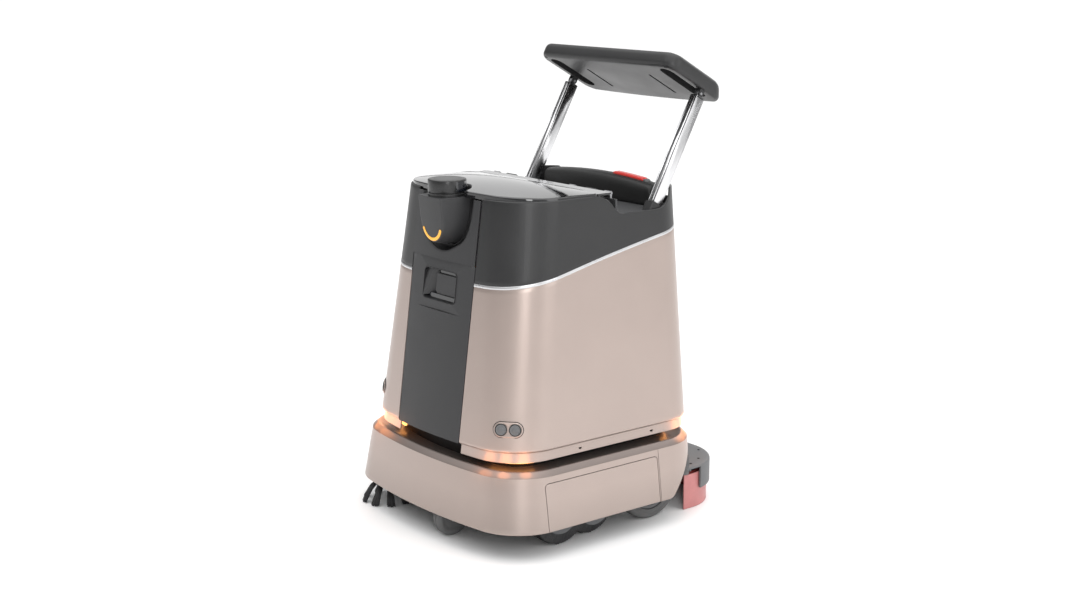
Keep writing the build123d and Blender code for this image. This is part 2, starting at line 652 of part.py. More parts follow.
with BuildPart() as console_tray:
    add(console_layer(0, CONSOLE_SPLIT, -3))
    add(underside_slots(), mode=Mode.SUBTRACT)
    for side in SIDES.values():
        inner = LUG_WIDE / 2 + CHEEK_GAP
        for low, high in ((-inner - CHEEK_WIDE, -inner), (inner, inner + CHEEK_WIDE)):
            add(along_post_x(side, low, high, PIVOT, LUG_R))
            add(cheek(side, low, high))
        add(along_post_x(side, -inner, inner, PIVOT, TILT_PIN_R))
write(console_tray, "console_tray")

# ---------------------------------------------------------------- tanks and machinery in the body
def tank(x0, x1, y0, y1, z0, z1, wall, radius):
    """Closed moulded tank."""
    with BuildPart() as solid:
        add(slab(x0, x1, y0, y1, z0, z1))
        fillet(solid.edges(), radius)
        add(slab(x0 + wall, x1 - wall, y0 + wall, y1 - wall, z0 + wall, z1 - wall), mode=Mode.SUBTRACT)
    return solid.part


with BuildPart() as recovery_tank:
    add(tank(-236, 236, -215, 20, 560, 894, 8, 18))
write(recovery_tank, "recovery_tank")

with BuildPart() as tank_caps:
    add(rod((0, -95, 894), (0, -95, 914), 78))
    add(rod((168, -150, 894), (168, -150, 914), 34))
    fillet(tank_caps.edges().group_by(Axis.Z)[-1], 5)
write(tank_caps, "tank_caps")

with BuildPart() as clean_tank:
    add(tank(-240, 240, -250, 20, 292, 548, 8, 18))
write(clean_tank, "clean_water_tank")

with BuildPart() as vacuum_motor:
    add(rod((-120, 165, 430), (-120, 165, 560), 72))
    add(rod((-120, 165, 560), (-120, 165, 590), 46))
write(vacuum_motor, "vacuum_motor")

with BuildPart() as water_pump:
    add(slab(60, 140, 60, 150, 292, 352))
    add(rod((100, 105, 352), (100, 105, 400), 26))
write(water_pump, "water_pump")

with BuildPart() as controller:
    add(slab(-180, 180, 130, 262, 690, 840))
    fillet(controller.edges().filter_by(Axis.Z), 8)
write(controller, "controller")

BAR, RAIL_TOP = 20, 640

with BuildPart() as body_frame:
    for x in (-252, 232):
        add(slab(x, x + BAR, 40, 40 + BAR, BODY_LOW + BODY_CHAMFER, RAIL_TOP))
        add(slab(x, x + BAR, 250, 250 + BAR, BODY_LOW + BODY_CHAMFER, RAIL_TOP + 2 * BAR))
        add(slab(x, x + BAR, 40 + BAR, 250, RAIL_TOP - BAR, RAIL_TOP))
    add(slab(-232, 232, 250, 250 + BAR, RAIL_TOP + BAR, RAIL_TOP + 2 * BAR))
write(body_frame, "body_frame")

# ---------------------------------------------------------------- drive wheels
AXLE_R, HUB_R, DISH_R, BOSS_R, AXLE_IN = 9, 72, 58, 20, 258


def on_axle(start_x, end_x, radius, bore=0.0):
    """Round piece on the drive wheels' axle line."""
    return rod((start_x, WHEEL_Y, WHEEL_R), (end_x, WHEEL_Y, WHEEL_R), radius, bore)


for name, side in SIDES.items():
    inner_x, outer_x = side * (WHEEL_FACE - WHEEL_WIDE), side * WHEEL_FACE
    with BuildPart() as tyre:
        add(on_axle(inner_x, outer_x, WHEEL_R, HUB_R))
        fillet(tyre.edges().filter_by(GeomType.CIRCLE).sort_by(SortBy.RADIUS)[-2:], 7)
    write(tyre, f"drive_tyre_{name}")

    with BuildPart() as hub:
        add(on_axle(inner_x + side * 3, outer_x - side * 4, HUB_R))
        add(on_axle(outer_x - side * 10, outer_x, DISH_R, BOSS_R), mode=Mode.SUBTRACT)
        add(on_axle(inner_x, outer_x - side * 12, AXLE_R + RUNNING), mode=Mode.SUBTRACT)
    write(hub, f"drive_hub_{name}")

with BuildPart() as drive_brackets:
    for side in SIDES.values():
        x_limits = sorted((side * AXLE_IN, side * (AXLE_IN + 8)))
        add(slab(*x_limits, WHEEL_Y - 40, WHEEL_Y + 40, 62, CHASSIS_LOW))
        add(on_axle(side * AXLE_IN, side * (WHEEL_FACE - 14), AXLE_R))
write(drive_brackets, "drive_brackets")

# ---------------------------------------------------------------- front caster
SWIVEL_R, FORK_TOP = 10, 118
CASTER_AXLE_Y, CASTER_AXLE_R = CASTER_Y - CASTER_TRAIL, 5

with BuildPart() as caster_fork:
    add(rod((CASTER_X, CASTER_Y, FORK_TOP), (CASTER_X, CASTER_Y, 175), SWIVEL_R))
    add(rod((CASTER_X, CASTER_Y, FORK_TOP - 7), (CASTER_X, CASTER_Y, FORK_TOP), 30))
    for low in (-CASTER_WIDE / 2 - 6, CASTER_WIDE / 2 + 1):
        add(slab(CASTER_X + low, CASTER_X + low + 5, CASTER_AXLE_Y - 11, CASTER_Y + 12, 44, FORK_TOP))
    reach = CASTER_WIDE / 2 + 1
    ends = ((CASTER_X - reach, CASTER_AXLE_Y, CASTER_R), (CASTER_X + reach, CASTER_AXLE_Y, CASTER_R))
    add(rod(*ends, CASTER_AXLE_R))
write(caster_fork, "caster_fork")

with BuildPart() as caster_wheel:
    reach = CASTER_WIDE / 2
    ends = ((CASTER_X - reach, CASTER_AXLE_Y, CASTER_R), (CASTER_X + reach, CASTER_AXLE_Y, CASTER_R))
    add(rod(*ends, CASTER_R, CASTER_AXLE_R + RUNNING))
    fillet(caster_wheel.edges().filter_by(GeomType.CIRCLE).sort_by(SortBy.RADIUS)[-2:], 8)
write(caster_wheel, "caster_wheel")

# ---------------------------------------------------------------- scrubbing deck
DECK_X, DECK_WALL, DECK_LOW, DECK_HIGH = 337, 5, 183, 188
DECK_FRONT, DECK_REAR = -286, 24
SHAFT_R, DISC_THICK, DISC_COUNT = 10, 14, 19
disc_pitch = (2 * BRUSH_END - DISC_THICK) / (DISC_COUNT - 1)

with BuildPart() as scrub_deck:
    add(slab(-DECK_X - DECK_WALL, DECK_X + DECK_WALL, DECK_FRONT, DECK_REAR, DECK_LOW, DECK_HIGH))
    add(slab(-DECK_X - DECK_WALL, DECK_X + DECK_WALL, DECK_FRONT, DECK_FRONT + 4, 122, DECK_LOW))
    add(slab(-DECK_X - DECK_WALL, DECK_X + DECK_WALL, DECK_REAR - 4, DECK_REAR, 122, DECK_LOW))
    for x0, x1 in ((DECK_X, DECK_X + DECK_WALL), (-DECK_X - DECK_WALL, -DECK_X)):
        for y in (FRONT_BRUSH_Y, REAR_BRUSH_Y):
            add(slab(x0, x1, y - 24, y + 24, 76, DECK_LOW))
    for y in (FRONT_BRUSH_Y, REAR_BRUSH_Y):
        add(rod((-400, y, BRUSH_AXIS_Z), (400, y, BRUSH_AXIS_Z), SHAFT_R + RUNNING), mode=Mode.SUBTRACT)
write(scrub_deck, "scrub_deck")


def brush_core(y):
    """Shaft, tube and end caps of one roller."""
    z = BRUSH_AXIS_Z
    with BuildPart() as core:
        add(rod((-DECK_X - DECK_WALL, y, z), (DECK_X + DECK_WALL, y, z), SHAFT_R))
        add(rod((-BRUSH_END, y, z), (BRUSH_END, y, z), BRUSH_CORE_R))
        add(rod((-BRUSH_END - 4, y, z), (-BRUSH_END - 0.5, y, z), END_CAP_R))
        add(rod((BRUSH_END + 0.5, y, z), (BRUSH_END + 4, y, z), END_CAP_R))
        add(rod((-BRUSH_END - 0.5, y, z), (BRUSH_END + 0.5, y, z), BRUSH_CORE_R))
    return core


def brush_discs(y, count):
    """Bristle discs of one roller, spaced so that the two rollers' discs pass between each other."""
    with BuildPart() as discs:
        for i in range(count):
            x = (i - (count - 1) / 2) * disc_pitch
            ends = ((x - DISC_THICK / 2, y, BRUSH_AXIS_Z), (x + DISC_THICK / 2, y, BRUSH_AXIS_Z))
            add(rod(*ends, BRUSH_R, BRUSH_CORE_R))
    return discs


write(brush_core(FRONT_BRUSH_Y), "front_brush_core")
write(brush_discs(FRONT_BRUSH_Y, DISC_COUNT), "front_brush_bristles")
write(brush_core(REAR_BRUSH_Y), "rear_brush_core")
write(brush_discs(REAR_BRUSH_Y, DISC_COUNT - 1), "rear_brush_bristles")

# ---------------------------------------------------------------- side brush
TUFTS, TUFT_ROOT_R, TUFT_ROOT_Z, TUFT_ROOT_THICK, TUFT_TIP_THICK = 9, 24, 66, 4.5, 8
centre = (SIDE_BRUSH_X, SIDE_BRUSH_Y)

with BuildPart() as side_brush_motor:
    add(rod((*centre, 100), (*centre, CHASSIS_LOW), 30, 8 + RUNNING))
write(side_brush_motor, "side_brush_motor")

with BuildPart() as side_brush_hub:
    add(rod((*centre, 60), (*centre, 82), 32))
    fillet(side_brush_hub.edges().group_by(Axis.Z)[-1], 5)
    add(rod((*centre, 82), (*centre, 150), 8))
write(side_brush_hub, "side_brush_hub")

def tuft(turn):
    """One bundle of bristles, widening as it slopes down and outwards."""
    drop, spread = TUFT_ROOT_Z - FLOOR_GAP, SIDE_BRUSH_R - TUFT_ROOT_R
    out = (cos(turn), sin(turn))
    start = (SIDE_BRUSH_X + TUFT_ROOT_R * out[0], SIDE_BRUSH_Y + TUFT_ROOT_R * out[1], TUFT_ROOT_Z)
    root = Plane(start, z_dir=(spread * out[0], spread * out[1], -drop))
    with BuildPart() as bundle:
        with BuildSketch(root):
            Circle(TUFT_ROOT_THICK)
        with BuildSketch(root.offset(hypot(drop, spread) + 12)):
            Circle(TUFT_TIP_THICK)
        loft()
    return bundle.part


with BuildPart() as side_brush_tufts:
    for i in range(TUFTS):
        add(tuft(radians(360 / TUFTS * i + 12)))
    add(slab(-FAR, 0, -FAR, 0, -30, FLOOR_GAP), mode=Mode.SUBTRACT)
    add(rod((*centre, 50), (*centre, 90), 32.2), mode=Mode.SUBTRACT)
write(side_brush_tufts, "side_brush_tufts")

# ---------------------------------------------------------------- squeegee
PLATE_LOW, PLATE_HIGH, PLATE_DEEP = 121, 129, 96
WALL_LOW, WALL_FRONT, BLADE_FRONT = 56, 330, 260


def squeegee_outline(z, inset=0.0):
    corner = max(SQUEEGEE_CORNER - inset, 10)
    return outline(z, SQUEEGEE_HALF - inset, -100, SQUEEGEE_REAR - inset, 10, corner, 2)


def u_band(low, high, inset, wide, front):
    """U-shaped band that follows the squeegee's plan, open towards the front."""
    with BuildPart() as band:
        add(shell(squeegee_outline, low, high, inset, wide))
        add(slab(-FAR, FAR, -FAR, front, 0, FAR), mode=Mode.SUBTRACT)
    return band.part


with BuildPart() as squeegee_housing:
    add(u_band(PLATE_LOW, PLATE_HIGH, 0, PLATE_DEEP, 300))
    add(u_band(WALL_LOW, PLATE_LOW, 0, 8, WALL_FRONT))
    add(u_band(WALL_LOW + 20, PLATE_LOW, 30, 8, WALL_FRONT))
    add(u_band(PLATE_LOW, PLATE_HIGH, 0, 60, 262))
    for side in SIDES.values():
        add(rod((side * 328, 266, 106), (side * 328, 266, 164), 16))
write(squeegee_housing, "squeegee_housing")

with BuildPart() as squeegee_blades:
    add(u_band(FLOOR_GAP, 104, 9, 4, BLADE_FRONT))
    add(u_band(FLOOR_GAP + 1, 104, 24, 4, 300))
write(squeegee_blades, "squeegee_blades")

with BuildPart() as blade_bolts:
    for side in SIDES.values():
        for x, y in ((318, 300), (280, 348)):
            add(rod((side * x, y, 106), (side * x, y, PLATE_LOW), 5))
    for x, y in ((-200, 392), (0, 400), (200, 392), (-318, 285), (318, 285)):
        add(rod((x, y, PLATE_HIGH), (x, y, PLATE_HIGH + 3), 5))
write(blade_bolts, "squeegee_bolts")

ARM_X, ARM_WIDE, ARM_EYE_R, SQUEEGEE_PIN_R = 90, 12, 14, 6
STRAP = [(252, 160), (262, 156), (348, PLATE_HIGH), (400, PLATE_HIGH), (400, 140), (350, 146), (268, 181)]


def on_squeegee_pivot(x, half, radius):
    """Round bar along the squeegee's pivot line."""
    y, z = SQUEEGEE_PIVOT_Y, SQUEEGEE_PIVOT_Z
    return rod((x - half, y, z), (x + half, y, z), radius)


with BuildPart() as squeegee_arm:
    for x in (-ARM_X, ARM_X):
        add(on_squeegee_pivot(x, ARM_WIDE / 2, ARM_EYE_R))
        add(side_profile(STRAP, x - ARM_WIDE / 2, ARM_WIDE))
    add(slab(-ARM_X, ARM_X, 366, 386, PLATE_HIGH, 139))
    add(on_squeegee_pivot(0, 400, SQUEEGEE_PIN_R + RUNNING), mode=Mode.SUBTRACT)
write(squeegee_arm, "squeegee_arm")

# ---------------------------------------------------------------- chassis with its welded mounts
with BuildPart() as chassis_plate:
    add(block(base_outline, CHASSIS_LOW, BASE_HIGH, SKIRT_WALL + 4))
    add(rod((CASTER_X, CASTER_Y, FORK_TOP + 3), (CASTER_X, CASTER_Y, CHASSIS_LOW), 28, SWIVEL_R + RUNNING))
    for x in (-ARM_X, ARM_X):
        for low in (-ARM_WIDE / 2 - 6.5, ARM_WIDE / 2 + 0.5):
            add(slab(x + low, x + low + 6, 250, 274, 156, CHASSIS_LOW))
        add(on_squeegee_pivot(x, 13, SQUEEGEE_PIN_R))
write(chassis_plate, "chassis_plate")

with BuildPart() as battery:
    add(slab(-225, 225, 40, 236, 92, CHASSIS_LOW))
    fillet(battery.edges().filter_by(Axis.Z), 10)
write(battery, "battery_pack")
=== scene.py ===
import math

import bmesh
import bpy
import numpy as np
from mathutils import Matrix, Vector


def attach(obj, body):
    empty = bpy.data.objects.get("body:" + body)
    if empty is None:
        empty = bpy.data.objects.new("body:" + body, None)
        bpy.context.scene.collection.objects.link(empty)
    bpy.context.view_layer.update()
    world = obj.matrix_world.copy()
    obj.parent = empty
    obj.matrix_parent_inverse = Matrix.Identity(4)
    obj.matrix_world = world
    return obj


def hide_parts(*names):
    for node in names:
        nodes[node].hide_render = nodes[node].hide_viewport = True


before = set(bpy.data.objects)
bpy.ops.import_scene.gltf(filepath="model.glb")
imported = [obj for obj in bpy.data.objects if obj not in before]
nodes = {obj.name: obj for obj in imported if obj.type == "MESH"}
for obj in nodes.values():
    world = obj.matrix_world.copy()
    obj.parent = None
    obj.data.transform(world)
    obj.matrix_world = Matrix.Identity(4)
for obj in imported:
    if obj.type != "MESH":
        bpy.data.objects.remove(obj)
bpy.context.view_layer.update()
scene = bpy.context.scene


def node_tree(name):
    mat = bpy.data.materials.new(name)
    mat.use_nodes = True
    tree = mat.node_tree
    return mat, tree, tree.nodes["Principled BSDF"]


def noise(tree, scale, detail=3.0, stretch=(1, 1, 1), rough=0.5):
    """Noise texture in object space, optionally stretched along an axis."""
    coords = tree.nodes.new("ShaderNodeTexCoord")
    mapping = tree.nodes.new("ShaderNodeMapping")
    mapping.inputs["Scale"].default_value = stretch
    tex = tree.nodes.new("ShaderNodeTexNoise")
    tex.inputs["Scale"].default_value = scale
    tex.inputs["Detail"].default_value = detail
    tex.inputs["Roughness"].default_value = rough
    tree.links.new(coords.outputs["Object"], mapping.inputs["Vector"])
    tree.links.new(mapping.outputs["Vector"], tex.inputs["Vector"])
    return tex


def ramp(tree, source, stops):
    node = tree.nodes.new("ShaderNodeValToRGB")
    elements = node.color_ramp.elements
    while len(elements) < len(stops):
        elements.new(0.5)
    for element, (place, colour) in zip(elements, stops):
        element.position = place
        element.color = (*colour, 1.0)
    tree.links.new(source, node.inputs["Fac"])
    return node


def spread(tree, source, low, high):
    node = tree.nodes.new("ShaderNodeMapRange")
    node.inputs["From Min"].default_value = 0.3
    node.inputs["From Max"].default_value = 0.7
    node.inputs["To Min"].default_value = low
    node.inputs["To Max"].default_value = high
    tree.links.new(source, node.inputs["Value"])
    return node.outputs["Result"]


def shade(colour, factor):
    return tuple(min(1.0, c * factor) for c in colour)


def finish(
    name, colour, rough, metallic=0.0, coat=0.0, vary=0.06, vary_scale=9.0, grain_scale=1400.0,
    grain=0.05, grain_depth=0.0002, stretch=(1, 1, 1), rough_vary=0.05, fleck=0.0, floor_dust=0.0,
    glow=None, transmission=0.0, sheen=0.0,
):
    """One procedural material: slow colour drift, fine grain in colour, roughness and bump."""
    mat, tree, bsdf = node_tree(name)
    slow = noise(tree, vary_scale, 4.0, stretch)
    fine = noise(tree, grain_scale, 2.0, stretch)
    base = ramp(tree, slow.outputs["Fac"], [(0.3, shade(colour, 1 - vary)), (0.7, shade(colour, 1 + vary))])
    out = base.outputs["Color"]
    if fleck:
        flakes = tree.nodes.new("ShaderNodeMix")
        flakes.data_type = "RGBA"
        flakes.blend_type = "OVERLAY"
        flakes.inputs["Factor"].default_value = fleck
        tree.links.new(out, flakes.inputs[6])
        tree.links.new(fine.outputs["Fac"], flakes.inputs[7])
        out = flakes.outputs[2]
    if floor_dust:
        place = tree.nodes.new("ShaderNodeNewGeometry")
        split = tree.nodes.new("ShaderNodeSeparateXYZ")
        height = tree.nodes.new("ShaderNodeMapRange")
        height.inputs["From Min"].default_value = 0.07
        height.inputs["From Max"].default_value = 0.16
        height.inputs["To Min"].default_value = floor_dust
        height.inputs["To Max"].default_value = 0.0
        dust = tree.nodes.new("ShaderNodeMix")
        dust.data_type = "RGBA"
        dust.inputs[7].default_value = (0.16, 0.14, 0.12, 1.0)
        tree.links.new(place.outputs["Position"], split.inputs["Vector"])
        tree.links.new(split.outputs["Z"], height.inputs["Value"])
        tree.links.new(height.outputs["Result"], dust.inputs["Factor"])
        tree.links.new(out, dust.inputs[6])
        out = dust.outputs[2]
    tree.links.new(out, bsdf.inputs["Base Color"])
    tree.links.new(
        spread(tree, slow.outputs["Fac"], max(0.02, rough - rough_vary), min(1.0, rough + rough_vary)),
        bsdf.inputs["Roughness"],
    )
    bsdf.inputs["Metallic"].default_value = metallic
    bsdf.inputs["Coat Weight"].default_value = coat
    bsdf.inputs["Coat Roughness"].default_value = 0.08
    bsdf.inputs["Transmission Weight"].default_value = transmission
    bsdf.inputs["Sheen Weight"].default_value = sheen
    if grain:
        bump = tree.nodes.new("ShaderNodeBump")
        bump.inputs["Strength"].default_value = grain
        bump.inputs["Distance"].default_value = grain_depth
        tree.links.new(fine.outputs["Fac"], bump.inputs["Height"])
        tree.links.new(bump.outputs["Normal"], bsdf.inputs["Normal"])
    if glow:
        tree.links.new(
            ramp(tree, slow.outputs["Fac"], [(0.3, shade(glow[0], 0.9)), (0.7, glow[0])]).outputs["Color"],
            bsdf.inputs["Emission Color"],
        )
        bsdf.inputs["Emission Strength"].default_value = glow[1]
    return mat


CHAMPAGNE = (0.43, 0.352, 0.318)
champagne = finish("champagne_metallic", CHAMPAGNE, 0.34, 0.62, 0.12, 0.025, 5.0, 2600,
                   0.02, fleck=0.1, rough_vary=0.03, floor_dust=0.25)
# The champagne paint at half brightness: painted shade for the deck lip under the body.
champagne_painted_shade = finish("champagne_deck_painted_shade", (0.215, 0.178, 0.162), 0.36, 0.55, 0.1, 0.03,
                        6.0, 2600, 0.02, fleck=0.1)
cover_grey = finish("satin_dark_grey", (0.0165, 0.0165, 0.0172), 0.42, 0.0, 0.05, 0.08, 8.0,
                    1800, 0.16)
panel_grey = finish("panel_dark_grey", (0.028, 0.028, 0.0295), 0.46, 0.0, 0.0, 0.08, 8.0,
                    1800, 0.16)
black = finish("moulded_black", (0.012, 0.012, 0.013), 0.45, 0.0, 0.0, 0.1, 10.0, 1500, 0.2)
mid_grey = finish("moulded_grey", (0.115, 0.118, 0.122), 0.5, 0.0, 0.0, 0.08, 12.0, 1500, 0.22)
# Blacker than the moulded black: painted shade for the shield's recess.
recess_painted_shade = finish("recess_painted_shade", (0.0075, 0.0075, 0.008), 0.5, 0.0, 0.0, 0.08, 8.0, 1500,
                      0.12)
cap_black = finish("satin_black", (0.0135, 0.0135, 0.014), 0.34, 0.0, 0.1, 0.08, 8.0, 1500,
                   0.08)
piano = finish("piano_black", (0.006, 0.006, 0.007), 0.06, 0.0, 0.8, 0.15, 6.0, 1200, 0.01,
               rough_vary=0.02)
soft_black = finish("soft_touch_black", (0.0085, 0.0085, 0.0085), 0.5, 0.0, 0.0, 0.1, 14.0, 1100,
                    0.3, sheen=0.04)
deck_grey = finish("textured_deck", (0.052, 0.053, 0.055), 0.62, 0.0, 0.0, 0.1, 16.0, 900,
                   0.55, 0.0004)
red = finish("signal_red", (0.72, 0.035, 0.025), 0.35, 0.0, 0.3, 0.05, 12.0, 1500, 0.08)
silver = finish("satin_silver", (0.62, 0.62, 0.63), 0.3, 0.85, 0.0, 0.04, 20.0, 1600, 0.05)
chrome = finish("brushed_chrome", (0.7, 0.7, 0.71), 0.27, 1.0, 0.0, 0.03, 30.0, 900, 0.05,
                stretch=(1, 0.1, 0.1), rough_vary=0.03)
steel = finish("mill_steel", (0.32, 0.32, 0.33), 0.42, 0.9, 0.0, 0.12, 12.0, 700, 0.2, rough_vary=0.1)
glass = finish("dark_glass", (0.008, 0.009, 0.012), 0.05, 0.0, 0.9, 0.2, 6.0, 1200, 0.0)
amber = finish("amber_lamp", (1.0, 0.48, 0.1), 0.4, 0.0, 0.0, 0.05, 40.0, 900, 0.05,
               glow=((1.0, 0.42, 0.12), 3.0))
smile_glow = finish("smile_lamp", (0.55, 0.28, 0.03), 0.4, 0.0, 0.1, 0.05, 60.0, 900, 0.05,
                    glow=((1.0, 0.47, 0.06), 0.62))
tank_white = finish("tank_polymer", (0.62, 0.62, 0.6), 0.45, 0.0, 0.0, 0.05, 9.0, 900, 0.2)
tyre_grey = finish("grey_rubber", (0.105, 0.105, 0.105), 0.72, 0.0, 0.0, 0.14, 26.0, 800, 0.45,
                   0.0004)
bristle = finish("nylon_bristle", (0.02, 0.02, 0.021), 0.5, 0.0, 0.0, 0.25, 60.0, 700, 0.4,
                 0.0005)
rubber_red = finish("squeegee_rubber", (0.56, 0.215, 0.21), 0.42, 0.0, 0.0, 0.08, 30.0, 800, 0.15,
                    transmission=0.15)
rubber_dark_red = finish("squeegee_rubber_inner", (0.3, 0.045, 0.04), 0.5, 0.0, 0.0, 0.08, 30.0,
                         800, 0.15)

NODE_FINISH = {
    champagne: ["base_skirt", "rear_fender_left", "rear_fender_right", "base_deck", "side_hatch_left",
                "side_hatch_right", "lower_shell", "sonar_bezels"],
    cover_grey: ["upper_cover", "console_case"],
    panel_grey: ["front_panel", "console_tray"],
    black: ["waist_pedestal", "camera_housing", "turret_nose", "post_sleeves", "controller", "side_brush_hub",
            "side_brush_motor", "water_pump", "vacuum_motor", "turret_base", "tank_caps"],
    mid_grey: ["sonar_sensors", "squeegee_housing", "battery_pack", "front_brush_core", "rear_brush_core",
               "drive_hub_left", "drive_hub_right", "scrub_deck"],
    piano: ["lid", "turret_hood"],
    soft_black: ["handle_roll"],
    deck_grey: ["rear_tray"],
    red: ["stop_bar"],
    silver: ["trim_strip"],
    chrome: ["posts"],
    steel: ["chassis_plate", "hatch_pins", "lid_hinge_bar", "body_frame", "drive_brackets", "caster_fork",
            "squeegee_bolts", "squeegee_arm"],
    glass: ["camera_windows", "console_screen", "turret_rotor"],
    amber: ["corner_lights"],
    smile_glow: ["smile_light"],
    tank_white: ["recovery_tank", "clean_water_tank"],
    tyre_grey: ["drive_tyre_left", "drive_tyre_right", "caster_wheel"],
    bristle: ["front_brush_bristles", "rear_brush_bristles", "side_brush_tufts"],
    rubber_red: ["squeegee_blades"],
}
for mat, names in NODE_FINISH.items():
    for name in names:
        slots = nodes[name].data.materials
        slots.clear()
        slots.append(mat)


# ---------------------------------------------------------------- mesh helpers
def piece(name, verts, faces, mat, body, replaced=(), wall=0.0, bevel=0.0, angle=35, segments=3, smooth=True):
    """Make a mesh piece, give it its finish and put it on its body."""
    mesh = bpy.data.meshes.new(name)
    mesh.from_pydata([tuple(v) for v in verts], [], [tuple(f) for f in faces])
    work = bmesh.new()
    work.from_mesh(mesh)
    bmesh.ops.remove_doubles(work, verts=work.verts, dist=1e-6)
    if not any(edge.is_boundary for edge in work.edges):
        bmesh.ops.recalc_face_normals(work, faces=work.faces)
    work.to_mesh(mesh)
    work.free()
    mesh.materials.append(mat)
    obj = bpy.data.objects.new(name, mesh)
    scene.collection.objects.link(obj)
    if smooth:
        mesh.shade_smooth()
    if wall:
        thick = obj.modifiers.new("wall", "SOLIDIFY")
        thick.thickness = wall
        thick.offset = -1.0
    if bevel:
        round_off = obj.modifiers.new("edges", "BEVEL")
        round_off.width = bevel
        round_off.segments = segments
        round_off.limit_method = "ANGLE"
        round_off.angle_limit = math.radians(angle)
        round_off.harden_normals = True
        round_off.miter_outer = "MITER_ARC"
    elif wall:
        edge = obj.modifiers.new("crisp", "EDGE_SPLIT")
        edge.split_angle = math.radians(50)
    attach(obj, body)
    if replaced:
        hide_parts(*replaced)
    return obj


def table_faces(rows, columns, closed=False, keep=None):
    """Quads over a table of points, row after row."""
    faces = []
    last = columns if closed else columns - 1
    for r in range(rows - 1):
        for c in range(last):
            if keep is None or keep(r, c):
                d = (c + 1) % columns
                faces.append((r * columns + c, r * columns + d, (r + 1) * columns + d, (r + 1) * columns + c))
    return faces


def carve(obj, cutters):
    """Cut closed shapes out of a piece, then drop them."""
    for spare in [m for m in obj.modifiers if m.type == "EDGE_SPLIT"]:
        obj.modifiers.remove(spare)
    for cutter in cutters:
        cut = obj.modifiers.new("cut", "BOOLEAN")
        cut.operation, cut.solver, cut.object = "DIFFERENCE", "EXACT", cutter
    bpy.context.view_layer.update()
    made = bpy.data.meshes.new_from_object(obj.evaluated_get(bpy.context.evaluated_depsgraph_get()))
    obj.modifiers.clear()
    obj.data = made
    for cutter in cutters:
        bpy.data.objects.remove(cutter)
    crisp = obj.modifiers.new("crisp", "EDGE_SPLIT")
    crisp.split_angle = math.radians(40)


def cutter_between(low, high):
    """Closed cutting shape between two matching outlines."""
    n = len(low)
    mesh = bpy.data.meshes.new("cutter")
    faces = [tuple(range(n))[::-1], tuple(range(n, 2 * n))] + table_faces(2, n, closed=True)
    mesh.from_pydata([tuple(p) for p in list(low) + list(high)], [], faces)
    work = bmesh.new()
    work.from_mesh(mesh)
    bmesh.ops.recalc_face_normals(work, faces=work.faces)
    work.to_mesh(mesh)
    work.free()
    obj = bpy.data.objects.new("cutter", mesh)
    scene.collection.objects.link(obj)
    return obj


# ---------------------------------------------------------------- plan outlines, as in the frame
BASE = dict(z=(0.074, 0.222), half=(0.398, 0.378), front=(-0.441, -0.421), rear=(0.312, 0.312), corner=0.148,
            rear_corner=0.145, bow=0.046)
BODY = dict(z=(0.28, 0.94), half=(0.347, 0.295), front=(-0.405, -0.322), rear=(0.306, 0.29), corner=0.15,
            rear_corner=0.105, bow=0.042)
SLOT_X = 0.1465
SIDES = {"left": 1, "right": -1}
SIDE_NAMES = {1: "left", -1: "right"}


def mix(a, b, t):
    return a + (b - a) * t


def on_plan(plan, z, inset, station):
    """Point of a plan outline at height z. A station is (kind, value, side)."""
    kind, value, side = station
    t = (z - plan["z"][0]) / (plan["z"][1] - plan["z"][0])
    half = mix(*plan["half"], t) - inset
    front = mix(*plan["front"], t) + inset
    rear = mix(*plan["rear"], t) - inset
    corner = max(plan["corner"] - inset, 0.004)
    rear_corner = max(plan["rear_corner"] - inset, 0.004)
    bow = plan["bow"]
    bow_r = (half**2 + bow**2) / (2 * bow)
    centre_x = half - corner
    centre_y = front + bow_r - math.sqrt((bow_r - corner) ** 2 - centre_x**2)
    tangent = math.atan2(centre_y - front - bow_r, centre_x)
    if kind == "front":
        x = value
        y = front + bow_r - math.sqrt(bow_r**2 - x**2)
    elif kind == "brow":
        x = mix(min(SLOT_X, 0.9 * bow_r * math.cos(tangent)), bow_r * math.cos(tangent), value)
        y = front + bow_r - math.sqrt(bow_r**2 - x**2)
    elif kind == "corner":
        a = tangent * (1 - value)
        x, y = centre_x + corner * math.cos(a), centre_y + corner * math.sin(a)
    elif kind == "corner_to":
        share, stop = value
        end = math.asin(max(-1.0, min(0.0, (stop - centre_y) / corner)))
        a = mix(tangent, end, share)
        x, y = centre_x + corner * math.cos(a), centre_y + corner * math.sin(a)
    elif kind == "flank":
        x, y = half, mix(centre_y, rear - rear_corner, value)
    elif kind == "side":
        y = value
        x = half
        if y < centre_y:
            x = centre_x + math.sqrt(max(0.0, corner**2 - (y - centre_y) ** 2))
        elif y > rear - rear_corner:
            x = half - rear_corner + math.sqrt(max(0.0, rear_corner**2 - (y - rear + rear_corner) ** 2))
    elif kind == "turn":
        a = math.pi / 2 * value
        x, y = half - rear_corner + rear_corner * math.cos(a), rear - rear_corner + rear_corner * math.sin(a)
    else:
        x, y = mix(half - rear_corner, 0.0, value), rear
    return Vector((side * x, y, z))


def run(kind, start, stop, count, first=True):
    values = np.linspace(start, stop, count + 1)[0 if first else 1:]
    return [(kind, float(v), 1) for v in values]


def mirrored(stations):
    """Right-hand stations joined to their mirror images, running anticlockwise seen from above."""
    left = [(kind, value, -side) for kind, value, side in reversed(stations)]
    return left + stations


def skin_points(plan, stations, rows, low, high):
    """Table of points. Each row is (share, rise, inset); low and high give a column's limits from (x, y)."""
    limits = []
    for station in stations:
        ends = []
        for limit in (low, high):
            z = 0.5
            for _ in range(8):
                p = on_plan(plan, z, 0, station)
                z = limit(abs(p.x), p.y)
            ends.append(z)
        limits.append(ends)
    points = []
    for share, rise, inset in rows:
        for station, (z0, z1) in zip(stations, limits):
            points.append(on_plan(plan, mix(z0, z1, share) + rise, inset, station))
    return points


